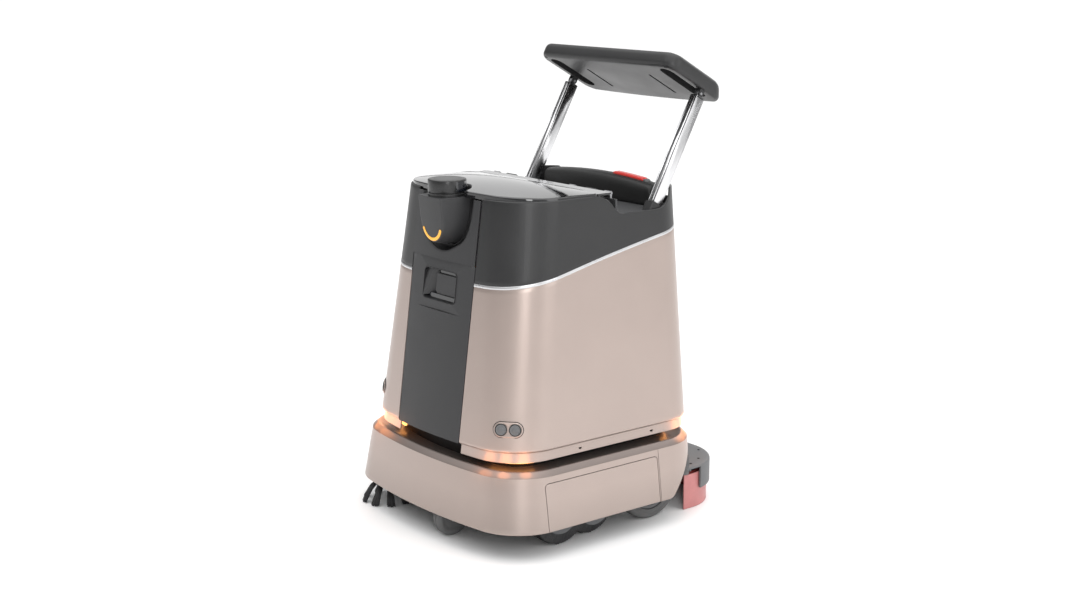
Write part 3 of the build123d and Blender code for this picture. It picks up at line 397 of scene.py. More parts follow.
def level(z):
    return lambda x, y: z


def curve_through(points):
    """Smooth function through (place, height) pairs."""
    xs, ys = [p[0] for p in points], [p[1] for p in points]
    slopes = np.gradient(ys, xs)

    def value(x):
        if x <= xs[0]:
            return ys[0]
        if x >= xs[-1]:
            return ys[-1] + slopes[-1] * (x - xs[-1])
        i = int(np.searchsorted(xs, x)) - 1
        h = xs[i + 1] - xs[i]
        t = (x - xs[i]) / h
        return (
            (2 * t**3 - 3 * t**2 + 1) * ys[i] + (t**3 - 2 * t**2 + t) * h * slopes[i]
            + (3 * t**2 - 2 * t**3) * ys[i + 1] + (t**3 - t**2) * h * slopes[i + 1]
        )

    return value


# ---------------------------------------------------------------- base skirt, hatches, fenders and deck
HATCH_FRONT, HATCH_REAR, HATCH_HIGH, HATCH_GAP = -0.286, 0.114, 0.205, 0.0019
SKIRT_LOW, SKIRT_HIGH, FENDER_SEAM = 0.074, 0.222, 0.117
HATCH_ROUND = 0.01


def lower_edge(radius=0.004):
    """Rows that roll the bottom edge inwards."""
    return [(0, radius * (1 - math.cos(a)), radius * (1 - math.sin(a))) for a in np.linspace(0, math.pi / 2, 5)]


def rounding(distance, radius):
    """Drop of a corner's arc at a distance from its side."""
    if distance >= radius:
        return 0.0
    return radius - math.sqrt(max(0.0, radius**2 - (radius - distance) ** 2))


front_half = run("front", 0.0, SLOT_X, 8)[1:] + run("brow", 0, 1, 4, False)
opening_ys = [HATCH_FRONT + HATCH_ROUND * 1.25 * (1 - math.cos(a)) for a in np.linspace(0, math.pi / 2, 7)]
opening_ys += list(np.linspace(opening_ys[-1], HATCH_REAR - HATCH_ROUND * 1.25, 12)[1:])
opening_ys += [HATCH_REAR - HATCH_ROUND * 1.25 * (1 - math.sin(a)) for a in np.linspace(0, math.pi / 2, 7)][1:]
skirt_half = [("front", 0.0, 1)] + front_half
skirt_half += [("corner_to", (float(t), HATCH_FRONT), 1) for t in np.linspace(0, 1, 25)[1:-1]]
first_open = len(skirt_half)
skirt_half += [("side", float(y), 1) for y in opening_ys]
last_open = len(skirt_half) - 1
skirt_half += [("side", FENDER_SEAM, 1)]
stations = mirrored(skirt_half[1:])
stations.insert(len(skirt_half) - 1, skirt_half[0])


def skirt_rows():
    rows = lower_edge()
    rows += [(0, float(r), 0) for r in np.linspace(0.014, 0.118, 6)]
    rows += [(0, HATCH_HIGH - SKIRT_LOW, 0), (0, 0.14, 0), (1, 0, 0)]
    return rows


rows = skirt_rows()
points = skin_points(BASE, stations, rows, level(SKIRT_LOW), level(SKIRT_HIGH))
columns, middle = len(stations), len(skirt_half) - 1
hatch_row = len(rows) - 3
for side in (-1, 1):
    for i in range(first_open, last_open + 1):
        c = middle + side * i
        y = opening_ys[i - first_open]
        drop = rounding(min(y - HATCH_FRONT, HATCH_REAR - y), HATCH_ROUND * 1.25)
        points[hatch_row * columns + c] = on_plan(BASE, HATCH_HIGH - drop, 0, stations[c])


def skirt_keeps(r, c):
    place = abs(c + 0.5 - middle)
    return r >= hatch_row or not first_open < place < last_open


piece("skirt", points, table_faces(len(rows), columns, keep=skirt_keeps), champagne, "chassis", ["base_skirt"],
      wall=0.0035, bevel=0.0008)

for name, side in SIDES.items():
    ys = [mix(HATCH_FRONT + HATCH_GAP, HATCH_REAR - HATCH_GAP, (y - HATCH_FRONT) / (HATCH_REAR - HATCH_FRONT))
          for y in opening_ys]
    stations = [("side", y, side) for y in (ys if side > 0 else ys[::-1])]
    rows = lower_edge() + [(float(t), 0, 0) for t in (0.15, 0.35, 0.55, 0.75, 0.9, 1.0)]

    def hatch_top(x, y):
        ends = min(y - ys[0], ys[-1] - y)
        return HATCH_HIGH - HATCH_GAP - rounding(ends, HATCH_ROUND)

    points = skin_points(BASE, stations, rows, level(SKIRT_LOW), hatch_top)
    piece(f"hatch_cover_{name}", points, table_faces(len(rows), len(stations)), champagne, f"hatch_{name}",
          [f"side_hatch_{name}"], wall=0.0035, bevel=0.0008)

fender_low = [(0.117, 0.074), (0.154, 0.074), (0.163, 0.0765), (0.172, 0.0845), (0.19, 0.104), (0.247, 0.164),
              (0.276, 0.191), (0.29, 0.2), (0.312, 0.204)]


def fender_bottom(x, y):
    return float(np.interp(y, [p[0] for p in fender_low], [p[1] for p in fender_low]))


fender_half = [("side", float(y), 1) for y in np.linspace(FENDER_SEAM + 0.0015, 0.166, 12)]
fender_half += run("turn", 0, 1, 36) + run("rear", 0, 0.996, 8, False)
for name, side in SIDES.items():
    stations = [(k, v, side) for k, v, _ in (fender_half if side > 0 else fender_half[::-1])]
    rows = lower_edge(0.003) + [(float(t), 0, 0) for t in (0.1, 0.3, 0.5, 0.7, 0.9, 1.0)]
    points = skin_points(BASE, stations, rows, fender_bottom, level(SKIRT_HIGH))
    piece(f"fender_{name}", points, table_faces(len(rows), len(stations)), champagne, "chassis",
          [f"rear_fender_{name}"], wall=0.0035, bevel=0.0008)

ring_half = [("front", 0.0, 1)] + front_half + run("corner", 0, 1, 24, False) + run("flank", 0, 1, 14, False)
ring_half += run("turn", 0, 1, 24, False) + run("rear", 0, 1, 8, False)
ring = mirrored(ring_half[1:-1])
ring.insert(len(ring_half) - 2, ring_half[0])
ring.append(ring_half[-1])
deck_profile = [(0.222, 0.0), (0.2228, 0.0002), (0.2344, 0.0122), (0.2353, 0.0134), (0.2359, 0.015),
                (0.236, 0.0175), (0.2355, 0.02), (0.2338, 0.0235), (0.2312, 0.0285), (0.2288, 0.035),
                (0.227, 0.043), (0.2262, 0.052), (0.2261, 0.11)]
rows = [(0, z - 0.222, inset) for z, inset in deck_profile]
points = skin_points(BASE, ring, rows, level(0.222), level(0.222))
# The deck lip takes the half-bright champagne, which paints the shade under the body.
piece("deck", points, table_faces(len(rows), len(ring), closed=True), champagne_painted_shade, "chassis", ["base_deck"],
      wall=0.003)

# ---------------------------------------------------------------- lower shell, trim and cover
trim_at = curve_through([(-0.36, 0.705), (-0.31, 0.711), (-0.214, 0.728), (-0.046, 0.764), (0.102, 0.793),
                         (0.234, 0.817)])
TRIM_WIDTH = 0.008
BODY_LOW, BODY_HIGH = 0.28, 0.94
open_half = run("front", SLOT_X, SLOT_X, 0) + run("brow", 0.04, 1, 5) + run("corner", 0, 1, 30, False)
open_half += run("flank", 0, 1, 26, False) + run("turn", 0, 1, 40, False) + run("rear", 0, 1, 12, False)
right = open_half
left = [(k, v, -s) for k, v, s in reversed(open_half[:-1])]
around = right + left


def trim_line(x, y):
    return trim_at(y)


shell_profile = [(0, -0.026, 0.009), (0, -0.0015, 0.009), (0, 0.0, 0.0085), (0, 0.0002, 0.0066),
                 (0, 0.0006, 0.0056), (0, 0.0052, 0.0007), (0, 0.0068, 0.0)]
rows = shell_profile + [(float(t), 0, 0) for t in (0.03, 0.08, 0.2, 0.35, 0.5, 0.65, 0.8, 0.92, 0.97)]
rows += [(1, -0.0012, 0), (1, -0.0003, 0.0004), (1, 0, 0.0012)]
points = skin_points(BODY, around, rows, level(BODY_LOW), trim_line)
lower = piece("body_shell", points, table_faces(len(rows), len(around)), champagne, "chassis", ["lower_shell"],
              wall=0.0035)


def d_outline(y, count=9):
    """Half-round hole, flat at the top."""
    return [(y + 0.006 * math.cos(a), 0.268 + 0.006 * math.sin(a)) for a in np.linspace(0, -math.pi, count)]


drains = []
for side in (-1, 1):
    for y in (-0.132, 0.128):
        drains.append(cutter_between([Vector((side * 0.3, a, b)) for a, b in d_outline(y)],
                                     [Vector((side * 0.36, a, b)) for a, b in d_outline(y)]))
carve(lower, drains)

rows = [(t, 0, i) for t, i in ((0.0, 0.0015), (0.0, -0.0002), (0.15, -0.0008), (0.5, -0.001), (0.85, -0.0008),
                               (1.0, -0.0002), (1.0, 0.0015))]
points = skin_points(BODY, around, rows, trim_line, lambda x, y: trim_at(y) + TRIM_WIDTH)
piece("trim_band", points, table_faces(len(rows), len(around)), silver, "chassis", ["trim_strip"], wall=0.002)

NOTCH_YS = [-0.6, -0.05, -0.038, -0.026, -0.014, -0.002, 0.008, 0.018, 0.028, 0.038, 0.05, 0.18, 0.19,
            0.206, 0.218, 0.228, 0.236, 0.4]
NOTCH_ZS = [0.94, 0.94, 0.9385, 0.9355, 0.931, 0.9255, 0.917, 0.905, 0.894, 0.887, 0.8835, 0.885,
            0.887, 0.8935, 0.9035, 0.914, 0.94, 0.94]
DIP_XS = [0.0, 0.222, 0.232, 0.239, 0.248, 0.5]
DIP_ZS = [0.902, 0.902, 0.906, 0.93, 0.94, 0.94]


def cover_top(x, y):
    side_top = float(np.interp(y, NOTCH_YS, NOTCH_ZS))
    if y > 0.255:
        return min(side_top, float(np.interp(x, DIP_XS, DIP_ZS)))
    return side_top


rows = [(0, 0, 0.0012), (0, 0.0003, 0.0004), (0, 0.0012, 0)]
rows += [(float(t), 0, 0) for t in (0.05, 0.2, 0.4, 0.6, 0.8, 0.93)]
rows += [(1, -0.004, 0), (1, -0.002, 0.0005), (1, -0.0007, 0.0018), (1, 0, 0.004)]
points = skin_points(BODY, around, rows, lambda x, y: trim_at(y) + TRIM_WIDTH, cover_top)
piece("cover", points, table_faces(len(rows), len(around)), cover_grey, "chassis", ["upper_cover"], wall=0.0035)


# ---------------------------------------------------------------- front panel with its recess and camera pocket
def smooth_line(points, count):
    """Even points along a smooth line through the given ones."""
    pts = np.array(points, float)
    along = np.concatenate([[0], np.cumsum(np.linalg.norm(np.diff(pts, axis=0), axis=1))])
    lines = [curve_through(list(zip(along, pts[:, k]))) for k in range(pts.shape[1])]
    return [tuple(f(s) for f in lines) for s in np.linspace(0, along[-1], count)]


SHIELD = [(0.1175, 0.95), (0.1165, 0.925), (0.1147, 0.898), (0.1084, 0.8565), (0.0918, 0.8217), (0.056, 0.7985),
          (0.022, 0.785), (0.0, 0.7825)]
NOSE_BACK = [(0.072, 0.934), (0.0712, 0.904), (0.069, 0.87), (0.0625, 0.841), (0.0475, 0.817),
             (0.025, 0.802), (0.0, 0.797)]
NOSE_MIDDLE = [(0.06, 0.934), (0.0598, 0.904), (0.0586, 0.872), (0.053, 0.844), (0.04, 0.822),
               (0.0205, 0.8085), (0.0, 0.804)]
NOSE_FRONT = [(0.053, 0.934), (0.053, 0.904), (0.0522, 0.874), (0.0472, 0.849), (0.035, 0.8275),
              (0.018, 0.8145), (0.0, 0.81)]
RECESS_DEPTH, RECESS_INSET, NOSE_BACK_Y = 0.026, 0.0013, -0.295
PANEL_X, PANEL_LOW, PANEL_HIGH, PANEL_INSET = 0.1434, 0.282, 0.934, 0.0005
CAMERA_X, CAMERA_LOW, CAMERA_HIGH, CAMERA_ROUND = 0.076, 0.645, 0.732, 0.012
PATCH_LOW, PATCH_HIGH = CAMERA_LOW - 0.025, CAMERA_HIGH + 0.028


def rounded_rectangle(half, low, high, radius, per_corner=6):
    """Closed outline in (x, z), anticlockwise seen from the front."""
    points = []
    for cx, cz, start in ((half - radius, low + radius, -90), (half - radius, high - radius, 0),
                          (-half + radius, high - radius, 90), (-half + radius, low + radius, 180)):
        for a in np.linspace(start, start + 90, per_corner + 1):
            points.append((cx + radius * math.cos(math.radians(a)), cz + radius * math.sin(math.radians(a))))
    return points


def panel_point(x, z, inset=PANEL_INSET):
    """Point of the front panel, a little below the body's outline."""
    return on_plan(BODY, z, inset, ("front", abs(x), 1 if x >= 0 else -1))


def panel_patch(x_low, x_high, z_low, z_high, across, up):
    points = []
    for z in np.linspace(z_low, z_high, up + 1):
        for x in np.linspace(x_low, x_high, across + 1):
            points.append(panel_point(x, z))
    return points, table_faces(up + 1, across + 1)


def join(parts):
    """One vertex and face list out of several."""
    verts, faces = [], []
    for v, f in parts:
        base = len(verts)
        verts += list(v)
        faces += [tuple(i + base for i in face) for face in f]
    return verts, faces


def frame_patch():
    """The panel round the camera pocket: square outside, rounded rectangle inside."""
    hole = rounded_rectangle(CAMERA_X, CAMERA_LOW, CAMERA_HIGH, CAMERA_ROUND)
    centre = Vector((0, (CAMERA_LOW + CAMERA_HIGH) / 2))
    outer = []
    for x, z in hole:
        dx, dz = x - centre.x, z - centre.y
        reach = [PANEL_X / abs(dx)] if abs(dx) > 1e-9 else []
        if abs(dz) > 1e-9:
            reach.append(((PATCH_HIGH if dz > 0 else PATCH_LOW) - centre.y) / dz)
        k = min(reach)
        outer.append((centre.x + dx * k, centre.y + dz * k))
    for corner in ((PANEL_X, PATCH_LOW), (PANEL_X, PATCH_HIGH), (-PANEL_X, PATCH_HIGH),
                   (-PANEL_X, PATCH_LOW)):
        nearest = min(range(len(outer)), key=lambda i: math.dist(outer[i], corner))
        outer[nearest] = corner
    rings = 4
    points = []
    for k in range(rings + 1):
        t = k / rings
        points += [panel_point(mix(a[0], b[0], t), mix(a[1], b[1], t)) for a, b in zip(outer, hole)]
    return points, table_faces(rings + 1, len(hole), closed=True)


def only_used(points, faces):
    """The points that the faces use, with the faces renumbered."""
    used = sorted({i for f in faces for i in f})
    place = {old: new for new, old in enumerate(used)}
    return [points[i] for i in used], [tuple(place[i] for i in f) for f in faces]


def full_u(line):
    return line + [(-x, z) for x, z in reversed(line[:-1])]


def to_height(line, z_top):
    """The part of a falling line below z_top, starting exactly there."""
    kept = [p for p in line if p[1] < z_top - 1e-4]
    x_top = float(np.interp(-z_top, [-p[1] for p in line], [p[0] for p in line]))
    return [(x_top, z_top)] + kept


shield_u = full_u(to_height(smooth_line(SHIELD, 60), PANEL_HIGH))
back_line = smooth_line(NOSE_BACK, 60)
nose_u = full_u([back_line[int(round(k * 59 / (len(shield_u) // 2)))] for k in range(len(shield_u) // 2 + 1)])


def top_patch():
    """The panel round the shield: square outside, the shield's outline inside."""
    outer = []
    for x, z in shield_u:
        dx, dz = x, z - PANEL_HIGH
        reach = [PANEL_X / abs(dx)] if abs(dx) > 1e-9 else []
        if abs(dz) > 1e-9:
            reach.append((PATCH_HIGH - PANEL_HIGH) / dz)
        k = min(r for r in reach if r > 0)
        outer.append((dx * k, PANEL_HIGH + dz * k))
    for corner in ((PANEL_X, PATCH_HIGH), (-PANEL_X, PATCH_HIGH)):
        nearest = min(range(len(outer)), key=lambda i: math.dist(outer[i], corner))
        outer[nearest] = corner
    points = []
    for t in (0.0, 0.3, 0.6, 0.9, 0.97, 1.0):
        sink = 0.0008 * max(0.0, (t - 0.97) / 0.03)
        points += [panel_point(mix(a[0], b[0], t), mix(a[1], b[1], t), PANEL_INSET + sink)
                   for a, b in zip(outer, shield_u)]
    return points, table_faces(6, len(shield_u))


patches = [panel_patch(-PANEL_X, PANEL_X, PANEL_LOW, PATCH_LOW, 12, 14), frame_patch(), top_patch()]
points, faces = join(patches)
piece("panel", points, faces, panel_grey, "chassis", ["front_panel"], wall=0.003)

# The shield's recess, finished in the extra-dark black that paints its shade.
points = []
RECESS_ROWS = [0.0, 0.012, 0.03, 0.06, 0.1, 0.16, 0.24, 0.34, 0.46, 0.6, 0.8, 1.0]
for t in RECESS_ROWS:
    for a, b in zip(shield_u, nose_u):
        p = panel_point(mix(a[0], b[0], t), mix(a[1], b[1], t), RECESS_INSET)
        points.append(Vector((p.x, p.y + RECESS_DEPTH * (1 - (1 - t) ** 2.6), p.z)))
piece("shield_recess", points, table_faces(len(RECESS_ROWS), len(shield_u)), recess_painted_shade, "chassis",
      wall=0.003)

# Camera pocket: a deep tray with rounded corners. A bar, a chin, two windows and a ramp stand in it.
POCKET_PLAY = 0.0006
hole = rounded_rectangle(CAMERA_X - POCKET_PLAY, CAMERA_LOW + POCKET_PLAY, CAMERA_HIGH - POCKET_PLAY,
                         CAMERA_ROUND)
camera_mid = (CAMERA_LOW + CAMERA_HIGH) / 2
pocket_depths = [(0.0012, 0.0), (0.0016, 0.0016), (0.006, 0.0022), (0.02, 0.004), (0.03, 0.0052),
                 (0.0325, 0.0075)]
points = []
for depth, inset in pocket_depths:
    for x, z in hole:
        scale_x = (CAMERA_X - inset) / CAMERA_X
        scale_z = 1 - inset / ((CAMERA_HIGH - CAMERA_LOW) / 2)
        zz = camera_mid + (z - camera_mid) * scale_z
        lean = on_plan(BODY, zz, 0, ("front", 0.0, 1)).y
        points.append(Vector((x * scale_x, lean + depth, zz)))
faces = table_faces(len(pocket_depths), len(hole), closed=True)
last = (len(pocket_depths) - 1) * len(hole)
faces.append(tuple(range(last, last + len(hole))))
piece("camera_pocket", points, faces, black, "chassis", ["camera_housing"], wall=0.0015)


def block_between(name, corners_low, corners_high, mat, body, bevel, replaced=()):
    """Closed solid between two matching outlines of points."""
    n = len(corners_low)
    faces = [tuple(range(n))[::-1], tuple(range(n, 2 * n))]
    faces += [(i, (i + 1) % n, n + (i + 1) % n, n + i) for i in range(n)]
    return piece(name, list(corners_low) + list(corners_high), faces, mat, body, replaced, bevel=bevel, angle=20)


def plate(name, outline, low, high, mat, body, bevel):
    """Flat solid with an outline in plan, between two heights."""
    return block_between(name, [Vector((x, y, low)) for x, y in outline],
                         [Vector((x, y, high)) for x, y in outline], mat, body, bevel)


def pocket_point(x, z, depth):
    return Vector((x, on_plan(BODY, z, 0, ("front", 0.0, 1)).y + depth, z))


def side_rectangle(x0, x1, z0, z1, radius):
    half, middle = (x1 - x0) / 2, (x0 + x1) / 2
    return [(x + middle, z) for x, z in rounded_rectangle(half, z0, z1, radius, 4)]


# Name, rectangle (x from, x to, z from, z to, corner), depths of back and face, finish, bevel, replaced nodes.
POCKET_PIECES = (
    ("camera_bar", (-0.014, 0.0745, 0.67, 0.7205, 0.004), 0.031, 0.001, panel_grey, 0.0012, ()),
    ("camera_chin", (-0.012, 0.0745, 0.6655, 0.6695, 0.0015), 0.031, 0.004, cover_grey, 0.0006, ()),
    ("camera_window_high", (-0.01, 0.07, 0.7212, 0.7295, 0.002), 0.03, 0.01, glass, 0.0006,
     ["camera_windows"]),
    ("camera_window_low", (-0.06, 0.07, 0.648, 0.66, 0.004), 0.03, 0.014, glass, 0.0006, ()),
)
for name, rectangle, back, face, mat, bevel, replaced in POCKET_PIECES:
    outline = side_rectangle(*rectangle)
    block_between(name, [pocket_point(x, z, back) for x, z in outline],
                  [pocket_point(x, z, face) for x, z in outline], mat, "chassis", bevel, replaced)
RAMP = [(-0.0748, 0.65, 0.0015), (-0.0715, 0.652, 0.002), (-0.069, 0.653, 0.003), (-0.044, 0.656, 0.03),
        (-0.0748, 0.69, 0.005), (-0.052, 0.69, 0.0025), (-0.049, 0.69, 0.0035), (-0.028, 0.69, 0.03),
        (-0.0748, 0.727, 0.012), (-0.032, 0.728, 0.0045), (-0.029, 0.728, 0.0055), (-0.018, 0.728, 0.03)]
points = [pocket_point(*p) for p in RAMP]
piece("camera_ramp", points, table_faces(3, 4), panel_grey, "chassis", wall=0.0015)

# ---------------------------------------------------------------- nose, smile and turret
NOSE_MIDDLE_Y, NOSE_EDGE = -0.344, 0.0035
back_line, middle_line, front_line = (smooth_line(line, 30) for line in (NOSE_BACK, NOSE_MIDDLE, NOSE_FRONT))


def nose_front_y(x, z):
    return mix(-0.372, -0.384, (z - 0.81) / 0.124) + 0.0025 * (x / 0.053) ** 2


back_u, middle_u, front_u = full_u(back_line), full_u(middle_line), full_u(front_line)
points = []
for t in (0.0, 0.35, 0.7, 0.94):
    points += [Vector((mix(a[0], b[0], t), mix(NOSE_BACK_Y, NOSE_MIDDLE_Y, t), mix(a[1], b[1], t)))
               for a, b in zip(back_u, middle_u)]
for t in (0.04, 0.35, 0.7, 0.95):
    points += [Vector((mix(a[0], b[0], t), mix(NOSE_MIDDLE_Y, nose_front_y(*b) + NOSE_EDGE, t),
                       mix(a[1], b[1], t))) for a, b in zip(middle_u, front_u)]
for scale, back in ((0.985, 0.0016), (0.965, 0.0004), (0.94, 0.0), (0.88, 0.0), (0.7, 0.0), (0.45, 0.0),
                    (0.2, 0.0), (0.0, 0.0)):
    for xf, zf in front_u:
        x, z = xf * scale, mix(0.934, zf, scale)
        points.append(Vector((x, nose_front_y(x, z) + back, z)))
columns = len(back_u)
piece("nose", points, [f[::-1] for f in table_faces(len(points) // columns, columns)], panel_grey, "chassis",
      ["turret_nose"], wall=0.0025)

# The shelf that closes the nose at the top.
rim = [(x, nose_front_y(x, 0.934)) for x in np.linspace(0.0515, -0.0515, 13)]
rim = [(0.072, NOSE_BACK_Y), (0.06, NOSE_MIDDLE_Y)] + rim + [(-0.06, NOSE_MIDDLE_Y), (-0.072, NOSE_BACK_Y)]
outline = [(-0.072, -0.262), (0.072, -0.262)] + rim
plate("nose_top", outline, 0.9325, 0.9352, panel_grey, "chassis", 0.001)

SMILE_Z, SMILE_R = 0.859, 0.0405
points = []
angles = np.linspace(math.radians(194), math.radians(346), 41)
around_tube = 12
for a in angles:
    end = min(1.0, 14 * min(a - angles[0], angles[-1] - a) + 0.15)
    for b in np.linspace(0, 2 * math.pi, around_tube + 1)[:-1]:
        r = SMILE_R + 0.0044 * math.sqrt(min(1.0, end)) * math.cos(b)
        x, z = r * math.cos(a), SMILE_Z + r * math.sin(a)
        points.append(Vector((x, nose_front_y(x, z) - 0.0013 * math.sqrt(min(1.0, end)) * math.sin(b), z)))
faces = table_faces(len(angles), around_tube, closed=True)
faces += [tuple(range(around_tube))[::-1], tuple(range(len(points) - around_tube, len(points)))]
piece("smile", points, faces, smile_glow, "chassis", ["smile_light"])


def turned(name, profile, centre, axis, mat, body, replaced=(), steps=96, closed=True, angle=38, start=0.0,
           sweep=360.0):
    """Profile of (radius, distance along the axis) turned about an axis through centre."""
    axis = Vector(axis).normalized()
    first = axis.orthogonal().normalized() if abs(axis.z) < 0.9 else Vector((1, 0, 0))
    second = axis.cross(first)
    full = sweep >= 360.0
    turns = np.radians(np.linspace(start, start + sweep, steps + 1)[: -1 if full else None])
    points = []
    for r, d in profile:
        for a in turns:
            points.append(Vector(centre) + axis * d + (first * math.cos(a) + second * math.sin(a)) * r)
    columns = len(turns)
    faces = table_faces(len(profile), columns, closed=full)
    if closed:
        last = (len(profile) - 1) * columns
        for c in range(columns if full else columns - 1):
            d = (c + 1) % columns
            faces.append((last + c, last + d, d, c))
    obj = piece(name, points, faces, mat, body, replaced)
    edge = obj.modifiers.new("crisp", "EDGE_SPLIT")
    edge.split_angle = math.radians(angle)
    return obj


TURRET_Y = -0.322
TURRET = (0, TURRET_Y, 0)
turned("turret_plinth", [(0.0, 0.935), (0.0526, 0.935), (0.0526, 0.9426), (0.0518, 0.9434), (0.0, 0.9434)],
       TURRET, (0, 0, 1), cap_black, "chassis", ["turret_base"], closed=False)
turned("turret_cap", [(0.0, 0.9444), (0.0512, 0.9444), (0.0522, 0.9447), (0.0526, 0.9453), (0.0526, 0.9762),
                      (0.052, 0.9782), (0.0508, 0.9794), (0.049, 0.9798), (0.037, 0.9798), (0.0364, 0.9793),
                      (0.0358, 0.9793), (0.0352, 0.9798), (0.0, 0.98)], TURRET, (0, 0, 1), cap_black, "chassis",
       ["turret_hood"], closed=False)
turned("turret_window", [(0.052, 0.948), (0.053, 0.9482), (0.053, 0.975), (0.052, 0.9752)], TURRET,
       (0, 0, 1), glass, "chassis", start=-8.5, sweep=197, steps=64)


# ---------------------------------------------------------------- ultrasonic pairs
def bezel_axes(side):
    t = (0.345 - 0.28) / 0.66
    half, front = mix(0.347, 0.295, t), mix(-0.405, -0.322, t)
    front += 0.042 * ((half - 0.15) / half) ** 2
    across, ahead = math.cos(math.radians(-47)), math.sin(math.radians(-47))
    place = Vector((side * (half - 0.15 + 0.15 * across), front + 0.15 + 0.15 * ahead, 0.345))
    out = Vector((side * across, ahead, 0.1)).normalized()
    along = Vector((-ahead, side * across, 0)).normalized()
    return place, along, out.cross(along), out


PILL_LONG, PILL_TALL, PILL_GAP, SENSOR_OFFSET = 0.04, 0.0205, 0.0016, 0.019
SENSOR_PROFILE = [(0.0, -0.002), (0.0142, -0.002), (0.0142, 0.003), (0.0136, 0.0037), (0.0126, 0.0037),
                  (0.0121, 0.0034), (0.0118, 0.0033), (0.008, 0.0034), (0.0076, 0.0037), (0.0046, 0.0039),
                  (0.0, 0.004)]


def pill_outline(half_long, half_tall, count=16):
    points = []
    for sign in (1, -1):
        for a in np.linspace(-math.pi / 2, math.pi / 2, count + 1):
            points.append((sign * (half_long - half_tall + half_tall * math.cos(a)), sign * half_tall * math.sin(a)))
    return points


for name, side in SIDES.items():
    place, along, up, out = bezel_axes(side)

    def at(a, b, depth):
        return place + along * a + up * b + out * (depth - a**2 / 0.3)

    outline = pill_outline(PILL_LONG + PILL_GAP, PILL_TALL + PILL_GAP)
    block_between(f"sonar_gap_{name}", [at(a, b, -0.004) for a, b in outline],
                  [at(a, b, 0.0006) for a, b in outline], black, "chassis", 0.0)
    ring_points = []
    profile = [(0.0, -0.006), (0.0, 0.0012), (0.0006, 0.002), (0.0018, 0.0025), (0.0034, 0.0025),
               (0.0046, 0.0016)]
    for inset, depth in profile:
        ring_points += [at(a, b, depth) for a, b in pill_outline(PILL_LONG - inset, PILL_TALL - inset)]
    count = len(outline)
    faces = table_faces(len(profile), count, closed=True)
    last = (len(profile) - 1) * count
    faces.append(tuple(range(last, last + count)))
    piece(f"sonar_bezel_{name}", ring_points, faces, champagne, "chassis", ["sonar_bezels"] if side > 0 else ())
    for i, offset in enumerate((-SENSOR_OFFSET, SENSOR_OFFSET)):
        centre = at(offset, 0, 0)
        turned(f"sonar_ring_{name}_{i}", [(0.0, 0.0), (0.0166, 0.0), (0.0166, 0.0028), (0.016, 0.0032),
                                          (0.0, 0.0032)],
               centre, out, black, "chassis", steps=40, closed=False)
        turned(f"sonar_{name}_{i}", SENSOR_PROFILE, centre, out, mid_grey, "chassis",
               ["sonar_sensors"] if side > 0 and i == 0 else (), steps=40, closed=False)

# ---------------------------------------------------------------- lid
LID_GAP, LID_REAR, LID_MIDDLE, LID_REACH, LID_HALF, CROWN_HIGH = 0.0055, -0.03, -0.16, 0.142, 0.3, 0.0185
LID_LOW, GROOVE_R, LID_CORNER = 0.937, 0.066, 0.012


def dome(x, y):
    """Height of the crowned lid."""
    fall = ((y - LID_MIDDLE) / LID_REACH) ** 2 if y > LID_MIDDLE else ((y - LID_MIDDLE) / 0.2) ** 2
    return BODY_HIGH + 0.0045 + CROWN_HIGH * (1 - (x / LID_HALF) ** 2) * max(0.0, 1 - fall)


def even(points, count):
    """The same path with evenly spaced points."""
    pts = np.array(points, float)
    along = np.concatenate([[0], np.cumsum(np.linalg.norm(np.diff(pts, axis=0), axis=1))])
    where = np.linspace(0, along[-1], count)
    return np.stack([np.interp(where, along, pts[:, k]) for k in range(pts.shape[1])], axis=1)


lid_edge = [on_plan(BODY, BODY_HIGH, LID_GAP, s) for s in [("front", 0.0, 1)] + front_half
            + run("corner", 0, 1, 24, False) + run("flank", 0, 1, 60, False)]
lid_edge = [(p.x, p.y) for p in lid_edge]
front_edge = [p for p in lid_edge if p[0] < 0.15 and math.dist(p, (0, TURRET_Y)) > GROOVE_R]
reach = (GROOVE_R**2 - (front_edge[0][1] - TURRET_Y) ** 2) ** 0.5
front_edge = [(reach, front_edge[0][1])] + [p for p in front_edge if p[0] > reach + 0.003]
flank = [p for p in lid_edge if p[0] >= front_edge[-1][0] and p[1] < LID_REAR - LID_CORNER]
side_x = flank[-1][0]
flank += [(side_x - LID_CORNER * (1 - math.cos(a)), LID_REAR - LID_CORNER * (1 - math.sin(a)))
          for a in np.linspace(0, math.pi / 2, 8)]
flank += [(x, LID_REAR) for x in np.linspace(side_x - LID_CORNER, 0, 30)[1:]]
half_outer = even(flank, 90)
outer = np.concatenate([half_outer, half_outer[::-1][1:] * [-1, 1]])
first_turn = math.atan2(front_edge[0][1] - TURRET_Y, front_edge[0][0])
turns = np.linspace(first_turn, math.pi - first_turn, len(outer))
groove = np.stack([GROOVE_R * np.cos(turns), TURRET_Y + GROOVE_R * np.sin(turns)], axis=1)
shares = [0, 0.0035, 0.008, 0.015, 0.03] + list(np.linspace(0.08, 0.92, 16)) + [0.97, 0.985, 0.992, 0.9965, 1]
right_edge = even(front_edge, 400)[[int(round(s * 399)) for s in shares]]
left_edge = right_edge * [-1, 1]
us = np.linspace(0, 1, len(outer))
us = np.concatenate([[0, 0.001, 0.0022, 0.0042], us[2:-2], [0.9958, 0.9978, 0.999, 1]])
columns = len(us)


def at_share(path, u):
    place = u * (len(path) - 1)
    i = min(int(place), len(path) - 2)
    return path[i] * (1 - place + i) + path[i + 1] * (place - i)


